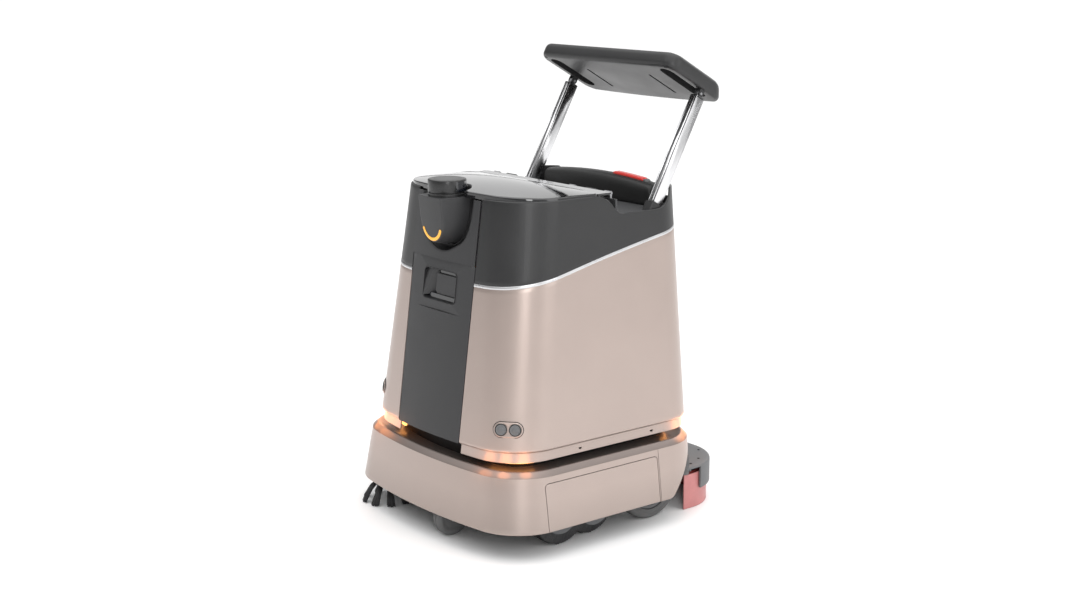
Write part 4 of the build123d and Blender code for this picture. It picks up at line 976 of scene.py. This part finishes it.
rim_loop = [tuple(p) for p in groove] + [tuple(p) for p in left_edge] + [tuple(p) for p in outer[::-1]]
rim_loop += [tuple(p) for p in right_edge[::-1]]
rim_pts = np.array(rim_loop)
EDGE_ROLL = 0.003
points, plan_grid = [], []
for k, v in enumerate(shares):
    for u in us:
        a, b = at_share(groove, u), at_share(outer, u)
        p = (1 - v) * a + v * b + (1 - u) * right_edge[k] + u * left_edge[k]
        p -= (1 - u) * ((1 - v) * groove[0] + v * outer[0]) + u * ((1 - v) * groove[-1] + v * outer[-1])
        plan_grid.append(p)
edge_a, edge_b = rim_pts, np.roll(rim_pts, -1, axis=0)
span = edge_b - edge_a
length2 = np.maximum((span**2).sum(1), 1e-12)
for p in plan_grid:
    t = np.clip(((p - edge_a) * span).sum(1) / length2, 0, 1)
    off = np.sqrt(((edge_a + span * t[:, None] - p) ** 2).sum(1)).min()
    drop = rounding(off, EDGE_ROLL)
    points.append(Vector((p[0], p[1], dome(p[0], p[1]) - drop)))
faces = table_faces(len(shares), columns)
count = len(points)
border = [c for c in range(columns)] + [r * columns + columns - 1 for r in range(1, len(shares))]
border += [(len(shares) - 1) * columns + c for c in range(columns - 2, -1, -1)]
border += [r * columns for r in range(len(shares) - 2, 0, -1)]
for i in border:
    points.append(Vector((points[i].x, points[i].y, LID_LOW)))
for k in range(len(border)):
    a, b = border[k], border[(k + 1) % len(border)]
    faces.append((b, a, count + k, count + (k + 1) % len(border)))
piece("lid_dome", points, [f[::-1] for f in faces], piano, "tank_lid", ["lid"])

# The flat strip behind the lid's dome, which carries its hinge, with a silver inlay.
HINGE_STRIP = [(-0.2835, -0.0285), (0.2835, -0.0285), (0.2835, 0.015), (0.276, 0.024), (-0.276, 0.024),
               (-0.2835, 0.015)]
plate("lid_strip", HINGE_STRIP, 0.9365, 0.9425, piano, "tank_lid", 0.0014)
inlay = [(-0.27, -0.013), (0.2, -0.013), (0.2, -0.004), (-0.27, -0.004)]
plate("lid_inlay", inlay, 0.942, 0.9432, silver, "tank_lid", 0.0004)
HINGE_X = 0.18
for name, side in SIDES.items():
    arm = [(-0.022, 0.02), (0.022, 0.02), (0.022, 0.033), (-0.022, 0.033)]
    plate(f"lid_arm_{name}", [(side * HINGE_X + x, y) for x, y in arm], 0.9367, 0.9405, black, "tank_lid", 0.0008)
    turned(f"lid_knuckle_{name}", [(0.0031, -0.022), (0.0052, -0.022), (0.006, -0.0212), (0.006, 0.0212),
                                   (0.0052, 0.022), (0.0031, 0.022)], (side * HINGE_X, 0.036, 0.936), (1, 0, 0),
           black, "tank_lid", steps=40)

# ---------------------------------------------------------------- rear deck, roll and stop bar
plinth_low = [(-0.2275, 0.0405), (0.2275, 0.0405), (0.152, 0.152), (-0.152, 0.152)]
plinth_high = [(-0.219, 0.0435), (0.219, 0.0435), (0.148, 0.148), (-0.148, 0.148)]
block_between("plinth", [Vector((x, y, 0.8795)) for x, y in plinth_low],
              [Vector((x, y, 0.888)) for x, y in plinth_high], cover_grey, "chassis", 0.0012)

ROLL_Y, ROLL_HALF, ROLL_END_Z, ROLL_BOW, DECK_Z = 0.228, 0.238, 0.94, 0.014, 0.8805
sections = []
xs = [ROLL_HALF * s for s in (-1, -0.999, -0.994, -0.985, -0.97, -0.94)]
xs += list(np.linspace(-0.9 * ROLL_HALF, 0.9 * ROLL_HALF, 31)) + [-x for x in reversed(xs)]
for x in xs:
    end = ROLL_HALF - abs(x)
    shrink = rounding(end, 0.014)
    top = ROLL_END_Z + ROLL_BOW * (1 - (x / ROLL_HALF) ** 2) - shrink
    deep = 0.03 - shrink * 0.9
    middle_z = (top + DECK_Z) / 2
    ring_points = []
    for a in np.linspace(0, 2 * math.pi, 49)[:-1]:
        ca, sa = math.cos(a), math.sin(a)
        power = 0.6 if sa > 0 else 0.35
        ring_points.append(Vector((x, ROLL_Y + deep * math.copysign(abs(ca) ** power, ca),
                                   middle_z + (top - DECK_Z) / 2 * math.copysign(abs(sa) ** power, sa))))
    sections.append(ring_points)
faces = table_faces(len(sections), 48, closed=True)
faces += [tuple(range(48))[::-1], tuple(range(48 * (len(sections) - 1), 48 * len(sections)))]
piece("roll", [p for s in sections for p in s], [f[::-1] for f in faces], soft_black, "chassis", ["handle_roll"])


def roll_top(x):
    return ROLL_END_Z + ROLL_BOW * (1 - (x / ROLL_HALF) ** 2)


def bar_outline(half, high, radius):
    points = []
    for cx, cz, start in ((half - radius, high - radius, 0), (-half + radius, high - radius, 90)):
        for a in np.linspace(start, start + 90, 6):
            points.append((cx + radius * math.cos(math.radians(a)), cz + radius * math.sin(math.radians(a))))
    return points + [(-half, -0.01), (half, -0.01)]


sections = []
for x in np.linspace(0.055, 0.19, 15):
    end = min(x - 0.055, 0.19 - x)
    shrink = rounding(end, 0.004)
    for a, b in bar_outline(0.011 - shrink * 0.6, 0.0072 - shrink * 0.6, 0.004):
        sections.append(Vector((x, ROLL_Y + 0.004 + a, roll_top(x) - 0.0004 + b)))
n = 14
faces = table_faces(15, n, closed=True) + [tuple(range(n))[::-1], tuple(range(14 * n, 15 * n))]
piece("stop_key", sections, [f[::-1] for f in faces], red, "emergency_bar", ["stop_bar"])
sections = []
for x in (0.1906, 0.196, 0.201):
    for a, b in bar_outline(0.01, 0.006 if x < 0.2 else 0.003, 0.0025):
        sections.append(Vector((x, ROLL_Y + a, roll_top(x) + b)))
faces = table_faces(3, n, closed=True) + [tuple(range(n))[::-1], tuple(range(2 * n, 3 * n))]
piece("stop_end", sections, [f[::-1] for f in faces], mid_grey, "chassis")

# ---------------------------------------------------------------- posts and console
LEAN = math.radians(28.8)
post_up = Vector((0, math.sin(LEAN), math.cos(LEAN)))
post_back = Vector((0, math.cos(LEAN), -math.sin(LEAN)))
POST_X, POST_Y, POST_Z, POST_REACH = 0.276, 0.176, 0.881, 0.342


def post_profile():
    """Section of the extrusion: two fine grooves down its front and back faces."""
    quarter = [(0.006, -0.016), (0.006, -0.0138), (0.0102, -0.0138), (0.0102, -0.016), (0.0122, -0.016),
               (0.013, -0.0152)]
    right = quarter + [(x, -y) for x, y in reversed(quarter)]
    return right + [(-x, y) for x, y in reversed(right)]


profile = post_profile()
for name, side in SIDES.items():
    foot = Vector((side * POST_X, POST_Y, POST_Z))
    ends = [[foot + post_up * t + Vector((1, 0, 0)) * a + post_back * b for a, b in profile]
            for t in (-0.06, POST_REACH)]
    block_between(f"post_{name}", ends[0], ends[1], chrome, "post_pair", 0.0, ["posts"] if side > 0 else ())
    for k, x in enumerate((-0.0081, 0.0081)):
        inlay = [[foot + post_up * t + Vector((1, 0, 0)) * (x + a) + post_back * b
                  for a, b in ((-0.0019, -0.0146), (0.0019, -0.0146), (0.0019, -0.013), (-0.0019, -0.013))]
                 for t in (-0.058, POST_REACH - 0.001)]
        block_between(f"post_inlay_{name}_{k}", inlay[0], inlay[1], black, "post_pair", 0.0002)
    cap = [[foot + post_up * t + Vector((1, 0, 0)) * (a * k) + post_back * (b * k) for a, b in
            rounded_rectangle(0.0133, -0.0163, 0.0163, 0.003)]
           for t, k in ((POST_REACH - 0.004, 1.0), (POST_REACH + 0.0015, 0.96))]
    block_between(f"post_cap_{name}", cap[0], cap[1], black, "post_pair", 0.0008)
    tongue = [[foot + post_up * t + Vector((1, 0, 0)) * (side * x) + post_back * b for t, b in
               [(POST_REACH - 0.001, -0.009), (POST_REACH - 0.001, 0.009)]
               + [(POST_REACH + 0.01 + 0.009 * math.cos(a), 0.009 * math.sin(a))
                  for a in np.linspace(math.pi / 2, -math.pi / 2, 13)]]
              for x in (-0.005, 0.005)]
    block_between(f"post_tongue_{name}", tongue[0], tongue[1], steel, "post_pair", 0.0008)

console_origin = Vector((0, POST_Y, POST_Z)) + post_up * (POST_REACH + 0.022)
CONSOLE_HALF, CONSOLE_FRONT, CONSOLE_REAR, CONSOLE_BOW, CONSOLE_HIGH = 0.292, -0.151, 0.0652, 0.012, 0.045


def console_at(a, b, h):
    """Point of the console: a across, b towards the rear, h above the underside."""
    return console_origin + Vector((1, 0, 0)) * a + post_back * b + post_up * h


def console_outline(inset, h=CONSOLE_HIGH):
    """Rounded plan with a bowed rear edge, which stands upright in space."""
    half, front = CONSOLE_HALF - inset, CONSOLE_FRONT + inset
    rear = CONSOLE_REAR - inset + (CONSOLE_HIGH - h) * math.tan(LEAN)
    bow_r = (half**2 + CONSOLE_BOW**2) / (2 * CONSOLE_BOW)
    radius = max(0.04 - inset, 0.004)
    tuck = max(0.046 - inset, 0.004)
    points = [(half - radius + radius * math.cos(a), front + radius + radius * math.sin(a))
              for a in np.linspace(-math.pi / 2, 0, 15)]
    centre = (half - tuck, rear - tuck + 0.004)
    points += [(centre[0] + tuck * math.cos(a), centre[1] + tuck * math.sin(a)) for a in np.linspace(0, 1.32, 15)]
    last = points[-1]
    top = rear + CONSOLE_BOW
    for x in np.linspace(last[0], 0, 14)[1:]:
        t = x / last[0]
        points.append((x, top - (top - last[1]) * t**2))
    return points + [(-x, y) for x, y in reversed(points[:-1])]


def console_layers(name, layers, mat, replaced=(), floor=False):
    points = [console_at(a, b, h) for inset, h in layers for a, b in console_outline(inset, h)]
    n = len(console_outline(0.0))
    faces = table_faces(len(layers), n, closed=True)
    last = (len(layers) - 1) * n
    faces.append(tuple(range(last, last + n)))
    if floor:
        faces.append(tuple(range(n))[::-1])
    return piece(name, points, faces, mat, "console", replaced)


def quarter_round(inset0, h0, inset1, h1, steps=7):
    """Quarter of an ellipse from a side (inset0, h0) over to a face (inset1, h1)."""
    return [(mix(inset0, inset1, 1 - math.cos(a)), mix(h0, h1, math.sin(a)))
            for a in np.linspace(0, math.pi / 2, steps)]


def slot_outline(a0, b0, a1, b1, half, count=8):
    """Slot with round ends from (a0, b0) to (a1, b1)."""
    turn = math.atan2(b1 - b0, a1 - a0)
    points = [(a1 + half * math.cos(turn + t), b1 + half * math.sin(turn + t))
              for t in np.linspace(-math.pi / 2, math.pi / 2, count)]
    return points + [(a0 - half * math.cos(turn + t), b0 - half * math.sin(turn + t))
                     for t in np.linspace(-math.pi / 2, math.pi / 2, count)]


under = [(inset, h) for inset, h in reversed(quarter_round(0.0, 0.015, 0.014, 0.0))]
shell_layers = under + [(0.0, 0.022)] + quarter_round(0.0, 0.029, 0.014, CONSOLE_HIGH)
shell_layers += [(0.02, 0.045), (0.026, 0.0449), (0.0274, 0.0444), (0.0278, 0.0424)]
console = console_layers("console_body", shell_layers, cover_grey, ["console_case", "console_tray"],
                         floor=True)
cuts = []
for side in (-1, 1):
    for outline, deep in ((slot_outline(side * 0.136, -0.072, side * 0.137, 0.038, 0.0046), 0.006),
                          (slot_outline(side * 0.24, -0.104, side * 0.24, 0.026, 0.024), 0.02),
                          (slot_outline(side * 0.258, -0.1375, side * 0.266, -0.1375, 0.0022), 0.004)):
        cuts.append(cutter_between([console_at(a, b, -0.004) for a, b in outline],
                                   [console_at(a, b, deep) for a, b in outline]))
carve(console, cuts)
for side in (-1, 1):
    web = [(-0.009, 0.001), (0.009, 0.001)] + [(0.009 * math.cos(a), -0.012 + 0.009 * math.sin(a))
                                               for a in np.linspace(0, -math.pi, 13)]
    for k, (x0, x1) in enumerate(((-0.0104, -0.0054), (0.0054, 0.0104))):
        block_between(f"console_cheek_{SIDE_NAMES[side]}_{k}",
                      [console_at(side * POST_X + x0, b, h) for b, h in web],
                      [console_at(side * POST_X + x1, b, h) for b, h in web], black, "console", 0.0008)
    pin = console_at(side * POST_X, 0, -0.012)
    turned(f"console_pin_{SIDE_NAMES[side]}", [(0.0, -0.0112), (0.0034, -0.0112), (0.004, -0.0106),
                                                            (0.004, 0.0106), (0.0034, 0.0112), (0.0, 0.0112)],
           pin, (1, 0, 0), steel, "console", steps=32, closed=False)
console_layers("console_display", [(0.0279, 0.0424), (0.0283, 0.044), (0.0291, 0.0445), (0.03, 0.0446),
                                   (0.07, 0.0446)], glass, ["console_screen"])

# ---------------------------------------------------------------- wheels
WHEEL_X, WHEEL_Y, WHEEL_R, BOLT_CIRCLE = 0.278, 0.143, 0.1, 0.043
for name, side in SIDES.items():
    centre, axis, body = (side * WHEEL_X, WHEEL_Y, WHEEL_R), (side, 0, 0), f"drive_wheel_{name}"
    tread = [(0.0722, 0.0005), (0.093, 0.0008), (0.0965, 0.0025), (0.0988, 0.006), (0.0998, 0.011),
             (0.1, 0.015), (0.0984, 0.0158), (0.0984, 0.0182), (0.1, 0.019), (0.1, 0.031),
             (0.0984, 0.0318), (0.0984, 0.0342), (0.1, 0.035), (0.0998, 0.04), (0.0988, 0.0445),
             (0.0965, 0.0475), (0.093, 0.0495), (0.086, 0.0498), (0.0852, 0.049), (0.08, 0.049),
             (0.0792, 0.0498), (0.0735, 0.0495), (0.0722, 0.048)]
    turned(f"tyre_{name}", tread, centre, axis, tyre_grey, body, [f"drive_tyre_{name}"])
    rim = [(0.0715, 0.0035), (0.0715, 0.045), (0.07, 0.0462), (0.064, 0.0462), (0.061, 0.044),
           (0.058, 0.0385), (0.056, 0.0368), (0.03, 0.0368), (0.026, 0.038), (0.024, 0.043),
           (0.0225, 0.0458), (0.02, 0.0462), (0.0105, 0.0462), (0.01, 0.045), (0.01, 0.037)]
    turned(f"hub_{name}", rim, centre, axis, mid_grey, body, [f"drive_hub_{name}"], closed=False)
    for i in range(6):
        a = math.radians(60 * i)
        spot = (side * WHEEL_X, WHEEL_Y + BOLT_CIRCLE * math.cos(a), WHEEL_R + BOLT_CIRCLE * math.sin(a))
        turned(f"wheel_bolt_{name}_{i}", [(0.0, 0.0366), (0.0052, 0.0366), (0.0052, 0.0392), (0.0045, 0.04),
                                          (0.0026, 0.04), (0.0024, 0.0386), (0.0, 0.0386)], spot, axis, steel,
               body, steps=18, closed=False)
turned("caster_tyre", [(0.0056, 0.0004), (0.04, 0.0006), (0.044, 0.0014), (0.049, 0.004), (0.0513, 0.008),
                       (0.052, 0.012), (0.052, 0.0165), (0.05, 0.0175), (0.05, 0.0205), (0.052, 0.0215),
                       (0.052, 0.026), (0.0513, 0.03), (0.049, 0.034), (0.044, 0.0366), (0.04, 0.0374),
                       (0.034, 0.035), (0.03, 0.0348), (0.018, 0.0365), (0.0056, 0.0376)],
       (0.056, -0.376, 0.052), (1, 0, 0), tyre_grey, "caster_roller", ["caster_wheel"])

# ---------------------------------------------------------------- rollers and side brush
BRUSH_R, BRUSH_Z, DISC_THICK, DISC_COUNT, BRUSH_END = 0.089, 0.09, 0.014, 19, 0.33
disc_pitch = (2 * BRUSH_END - DISC_THICK) / (DISC_COUNT - 1)
TEETH = 88


def bristle_disc(x, y, turn):
    """One disc of bristle tufts: ridged faces and a ragged rim."""
    verts, faces = [], []
    rings = [(0.026, 0.5), (0.04, 0.9), (0.062, 1.0), (0.08, 1.0), (0.089, 0.92)]
    for face_side in (-1, 1):
        for k, (r, thick) in enumerate(rings):
            for i in range(TEETH * 2):
                a = math.pi * (i + 0.25 * math.sin(i * 2.3 + turn)) / TEETH + turn
                ridge = 0.0011 if i % 2 else 0.0
                ragged = 0.0016 * math.sin(i * 3.7 + turn * 5) if k == len(rings) - 1 else 0.0
                rr = min(r + (ragged - 0.0016 if k == len(rings) - 1 else 0.0), BRUSH_R)
                if k == len(rings) - 1 and i % 2 == 0:
                    rr -= 0.0022
                xx = x + face_side * (DISC_THICK / 2 * thick - ridge)
                verts.append((xx, y + rr * math.cos(a), BRUSH_Z + rr * math.sin(a)))
    ring_count, n = len(rings), TEETH * 2
    for r in range(ring_count - 1):
        for i in range(n):
            j = (i + 1) % n
            a, b, c, d = r * n + i, r * n + j, (r + 1) * n + j, (r + 1) * n + i
            faces.append((a, d, c, b))
            shift = ring_count * n
            faces.append((a + shift, b + shift, c + shift, d + shift))
    last, shift = (ring_count - 1) * n, ring_count * n
    for i in range(n):
        j = (i + 1) % n
        faces.append((last + i, last + i + shift, last + j + shift, last + j))
    return verts, faces


for name, y, count in (("front", -0.19, DISC_COUNT), ("rear", -0.072, DISC_COUNT - 1)):
    discs = [bristle_disc((i - (count - 1) / 2) * disc_pitch, y, 0.37 * i) for i in range(count)]
    points, faces = join(discs)
    piece(f"{name}_roller_bristles", points, faces, bristle, f"{name}_brush", [f"{name}_brush_bristles"],
          smooth=False)

HUB_X, HUB_Y = -0.275, -0.352
verts, faces = [], []
rng = np.random.default_rng(7)
for i in range(9):
    turn = math.radians(40 * i + 12)
    out, cross = Vector((math.cos(turn), math.sin(turn), 0)), Vector((-math.sin(turn), math.cos(turn), 0))
    for k in range(48):
        u, v = rng.uniform(-1, 1), rng.uniform(-1, 1)
        root = Vector((HUB_X, HUB_Y, 0.066)) + out * (0.024 + 0.0035 * v) + cross * (0.0035 * u)
        tip_r = 0.0755 + 0.0045 * v - 0.004 * abs(u)
        tip = Vector((HUB_X, HUB_Y, 0.0018 + 0.004 * rng.uniform(0, 1))) + out * tip_r + cross * (0.0118 * u)
        bend = (root + tip) / 2 + out * 0.004 + Vector((0, 0, 0.004))
        base = len(verts)
        for p, w in ((root, 0.0014), (bend, 0.0017), (tip, 0.0015)):
            for a, b in ((w, 0), (0, w), (-w, 0), (0, -w)):
                verts.append(p + cross * a + out * b * 0.6 + Vector((0, 0, b * 0.8)))
        for r in range(2):
            for c in range(4):
                d = (c + 1) % 4
                faces.append((base + r * 4 + c, base + r * 4 + d, base + r * 4 + 4 + d, base + r * 4 + 4 + c))
        faces.append((base + 3, base + 2, base + 1, base))
        faces.append((base + 8, base + 9, base + 10, base + 11))
piece("side_brush_bristles", verts, faces, bristle, "side_brush", ["side_brush_tufts"])
turned("side_brush_cap", [(0.0, 0.06), (0.02, 0.06), (0.0285, 0.0615), (0.032, 0.065), (0.032, 0.076),
                          (0.03, 0.08), (0.025, 0.082), (0.0, 0.082)], (HUB_X, HUB_Y, 0), (0, 0, 1), black,
       "side_brush", closed=False)

# ---------------------------------------------------------------- squeegee
SQUEEGEE = dict(z=(0.0, 1.0), half=(0.345, 0.345), front=(-0.1, -0.1), rear=(0.441, 0.441), corner=0.01,
                rear_corner=0.15, bow=0.002)


def u_stations(front):
    half = [("side", float(y), 1) for y in np.linspace(front, 0.2905, 3) if front < 0.2905]
    half += run("turn", 0, 1, 30) + run("rear", 0, 1, 10, False)
    return half + [(k, v, -s) for k, v, s in reversed(half[:-1])]


def u_sheet(name, front, profile, wall, bevel, mat, replaced=(), open_rows=0, open_to=0.0):
    """U-shaped sheet; its first rows are left out in front of open_to."""
    stations = u_stations(front)
    rows = [(0, z, inset) for z, inset in profile]
    points = skin_points(SQUEEGEE, stations, rows, level(0.0), level(0.0))
    columns = len(stations)

    def kept(r, c):
        return r >= open_rows or min(points[r * columns + c].y, points[r * columns + c + 1].y) >= open_to

    return piece(name, *only_used(points, table_faces(len(rows), columns, keep=kept)), mat, "squeegee", replaced,
                 wall=wall, bevel=bevel)


top_profile = [(0.056, 0.0008), (0.0585, 0.0), (0.08, 0.0), (0.1, 0.0), (0.1215, 0.0), (0.1255, 0.0011),
               (0.128, 0.0036), (0.129, 0.0075), (0.129, 0.03), (0.129, 0.06), (0.129, 0.094)]
u_sheet("squeegee_shell", 0.264, top_profile, 0.006, 0.0014, mid_grey, ["squeegee_housing"], open_rows=4,
        open_to=0.322)
for side in (-1, 1):
    for k, (x, y) in enumerate(((0.322, 0.3), (0.3, 0.352), (0.24, 0.41))):
        turned(f"squeegee_screw_{SIDE_NAMES[side]}_{k}",
               [(0.0, 0.1285), (0.004, 0.1285), (0.004, 0.1298), (0.0034, 0.1304), (0.0018, 0.1304),
                (0.0016, 0.1294), (0.0, 0.1294)], (side * x, y, 0), (0, 0, 1), black, "squeegee", steps=20,
               closed=False)
u_sheet("squeegee_carrier", 0.33, [(0.078, 0.03), (0.1215, 0.03)], 0.008, 0.0012, black)
u_sheet("squeegee_blade", 0.262, [(0.0012, 0.009), (0.004, 0.009), (0.05, 0.009), (0.104, 0.009)], 0.0038,
        0.0004, rubber_red, ["squeegee_blades"])
u_sheet("squeegee_inner_blade", 0.301, [(0.0022, 0.024), (0.004, 0.024), (0.05, 0.024), (0.104, 0.024)],
        0.0038, 0.0004, rubber_dark_red)
for name, side in SIDES.items():
    turned(f"guard_roller_{name}", [(0.0, 0.1062), (0.0125, 0.1062), (0.015, 0.1072), (0.016, 0.1095),
                                    (0.016, 0.133), (0.0154, 0.134), (0.0154, 0.136), (0.016, 0.137),
                                    (0.016, 0.16), (0.015, 0.1628), (0.0125, 0.164), (0.0, 0.164)],
           (side * 0.328, 0.266, 0), (0, 0, 1), tyre_grey, "squeegee", steps=48, closed=False)

# ---------------------------------------------------------------- floor, light and camera
FLOOR_SIZE = 90.0
floor_mesh = bpy.data.meshes.new("floor")
floor_mesh.from_pydata([(-FLOOR_SIZE, -FLOOR_SIZE, 0), (FLOOR_SIZE, -FLOOR_SIZE, 0), (FLOOR_SIZE, FLOOR_SIZE, 0),
                        (-FLOOR_SIZE, FLOOR_SIZE, 0)], [], [(0, 1, 2, 3)])
floor = bpy.data.objects.new("floor", floor_mesh)
scene.collection.objects.link(floor)
floor_mat, floor_tree, floor_bsdf = node_tree("floor_white")
floor_noise = noise(floor_tree, 2.0)
floor_tone = ramp(floor_tree, floor_noise.outputs["Fac"], [(0.3, (0.9, 0.9, 0.9)), (0.7, (0.92, 0.92, 0.92))])
floor_tree.links.new(floor_tone.outputs["Color"], floor_bsdf.inputs["Base Color"])
floor_bsdf.inputs["Roughness"].default_value = 0.6
floor_mesh.materials.append(floor_mat)

world = bpy.data.worlds.new("studio")
scene.world = world
world.use_nodes = True
backdrop = world.node_tree.nodes["Background"]
sky_tree = world.node_tree
sky = sky_tree.nodes.new("ShaderNodeTexCoord")
sky_split = sky_tree.nodes.new("ShaderNodeSeparateXYZ")
toward = sky_tree.nodes.new("ShaderNodeVectorMath")
toward.operation = "DOT_PRODUCT"
toward.inputs[1].default_value = (0.39, 0.31, 0.0)
shift = sky_tree.nodes.new("ShaderNodeMath")
shift.inputs[1].default_value = 0.5
sky_tree.links.new(sky.outputs["Generated"], sky_split.inputs["Vector"])
sky_tree.links.new(sky.outputs["Generated"], toward.inputs[0])
sky_tree.links.new(toward.outputs["Value"], shift.inputs[0])
walls = ramp(sky_tree, shift.outputs["Value"], [(0.0, (0.14, 0.14, 0.14)), (0.5, (0.26, 0.26, 0.26)),
                                                (1.0, (0.52, 0.52, 0.52))])
cap = ramp(sky_tree, sky_split.outputs["Z"], [(0.45, (0.0, 0.0, 0.0)), (0.8, (1.0, 1.0, 1.0))])
sky_mix = sky_tree.nodes.new("ShaderNodeMix")
sky_mix.data_type = "RGBA"
sky_mix.inputs[7].default_value = (1.0, 1.0, 1.0, 1.0)
sky_tree.links.new(cap.outputs["Color"], sky_mix.inputs["Factor"])
sky_tree.links.new(walls.outputs["Color"], sky_mix.inputs[6])
sky_tree.links.new(sky_mix.outputs[2], backdrop.inputs["Color"])
backdrop.inputs["Strength"].default_value = 1.7


def softbox(name, place, target, width, height, power, colour=(1, 1, 1)):
    data = bpy.data.lights.new(name, "AREA")
    data.shape = "RECTANGLE"
    data.size, data.size_y = width, height
    data.energy = power
    data.color = colour
    lamp = bpy.data.objects.new(name, data)
    scene.collection.objects.link(lamp)
    lamp.location = place
    lamp.rotation_mode = "QUATERNION"
    lamp.rotation_quaternion = (Vector(target) - Vector(place)).to_track_quat("-Z", "Y")


softbox("overhead", (0.4, -0.4, 4.2), (0, 0, 0.4), 4.5, 4.5, 40)
softbox("key", (4.9, -3.3, 2.6), (0, 0, 0.5), 1.3, 3.2, 78)
softbox("side", (4.6, 1.2, 2.2), (0, 0, 0.6), 2.2, 3.0, 30)
softbox("front_left", (-3.6, -3.0, 2.2), (0, 0, 0.6), 1.6, 3.0, 7)
softbox("rear", (-1.0, 4.6, 3.0), (0, 0, 0.6), 3.0, 2.4, 30)
softbox("far_card", (-4.6, 3.7, 2.1), (0, 0, 0.9), 5.0, 2.0, 17)

# Each corner's lamps: place along the body's outline, and power.
GLOW_PLACES = (("corner", 0.1, 0.085), ("corner", 0.38, 0.105), ("corner", 0.66, 0.105), ("turn", 0.3, 0.105),
               ("turn", 0.7, 0.105))
GLOW_COLOUR, GLOW_SIZE, GLOW_Z, GLOW_OUT = (1.0, 0.36, 0.11), 0.03, 0.2455, 0.02


def glow_lamp(name, place, power):
    """Small hidden lamp that gives the corner lights their glow."""
    data = bpy.data.lights.new(name, "POINT")
    data.energy, data.shadow_soft_size, data.color = power, GLOW_SIZE, GLOW_COLOUR
    lamp = bpy.data.objects.new(name, data)
    scene.collection.objects.link(lamp)
    lamp.location = place
    lamp.visible_camera = False


for side in (-1, 1):
    for k, (kind, value, power) in enumerate(GLOW_PLACES):
        p = on_plan(BODY, 0.256, -GLOW_OUT, (kind, value, side))
        glow_lamp(f"glow_{SIDE_NAMES[side]}_{k}", (p.x, p.y, GLOW_Z), power)

AZIMUTH, ELEVATION = math.radians(51.49), math.radians(12.475)
camera_data = bpy.data.cameras.new("camera")
camera_data.sensor_width = 36.0
camera_data.lens = 54.39
camera_data.clip_start, camera_data.clip_end = 0.1, 300.0
camera = bpy.data.objects.new("camera", camera_data)
scene.collection.objects.link(camera)
camera.location = (3.58, -2.85, 1.6)
camera.rotation_mode = "QUATERNION"
look = Vector((-math.sin(AZIMUTH) * math.cos(ELEVATION), math.cos(AZIMUTH) * math.cos(ELEVATION),
               -math.sin(ELEVATION)))
camera.rotation_quaternion = look.to_track_quat("-Z", "Y")
scene.camera = camera
scene.view_settings.view_transform = "Standard"
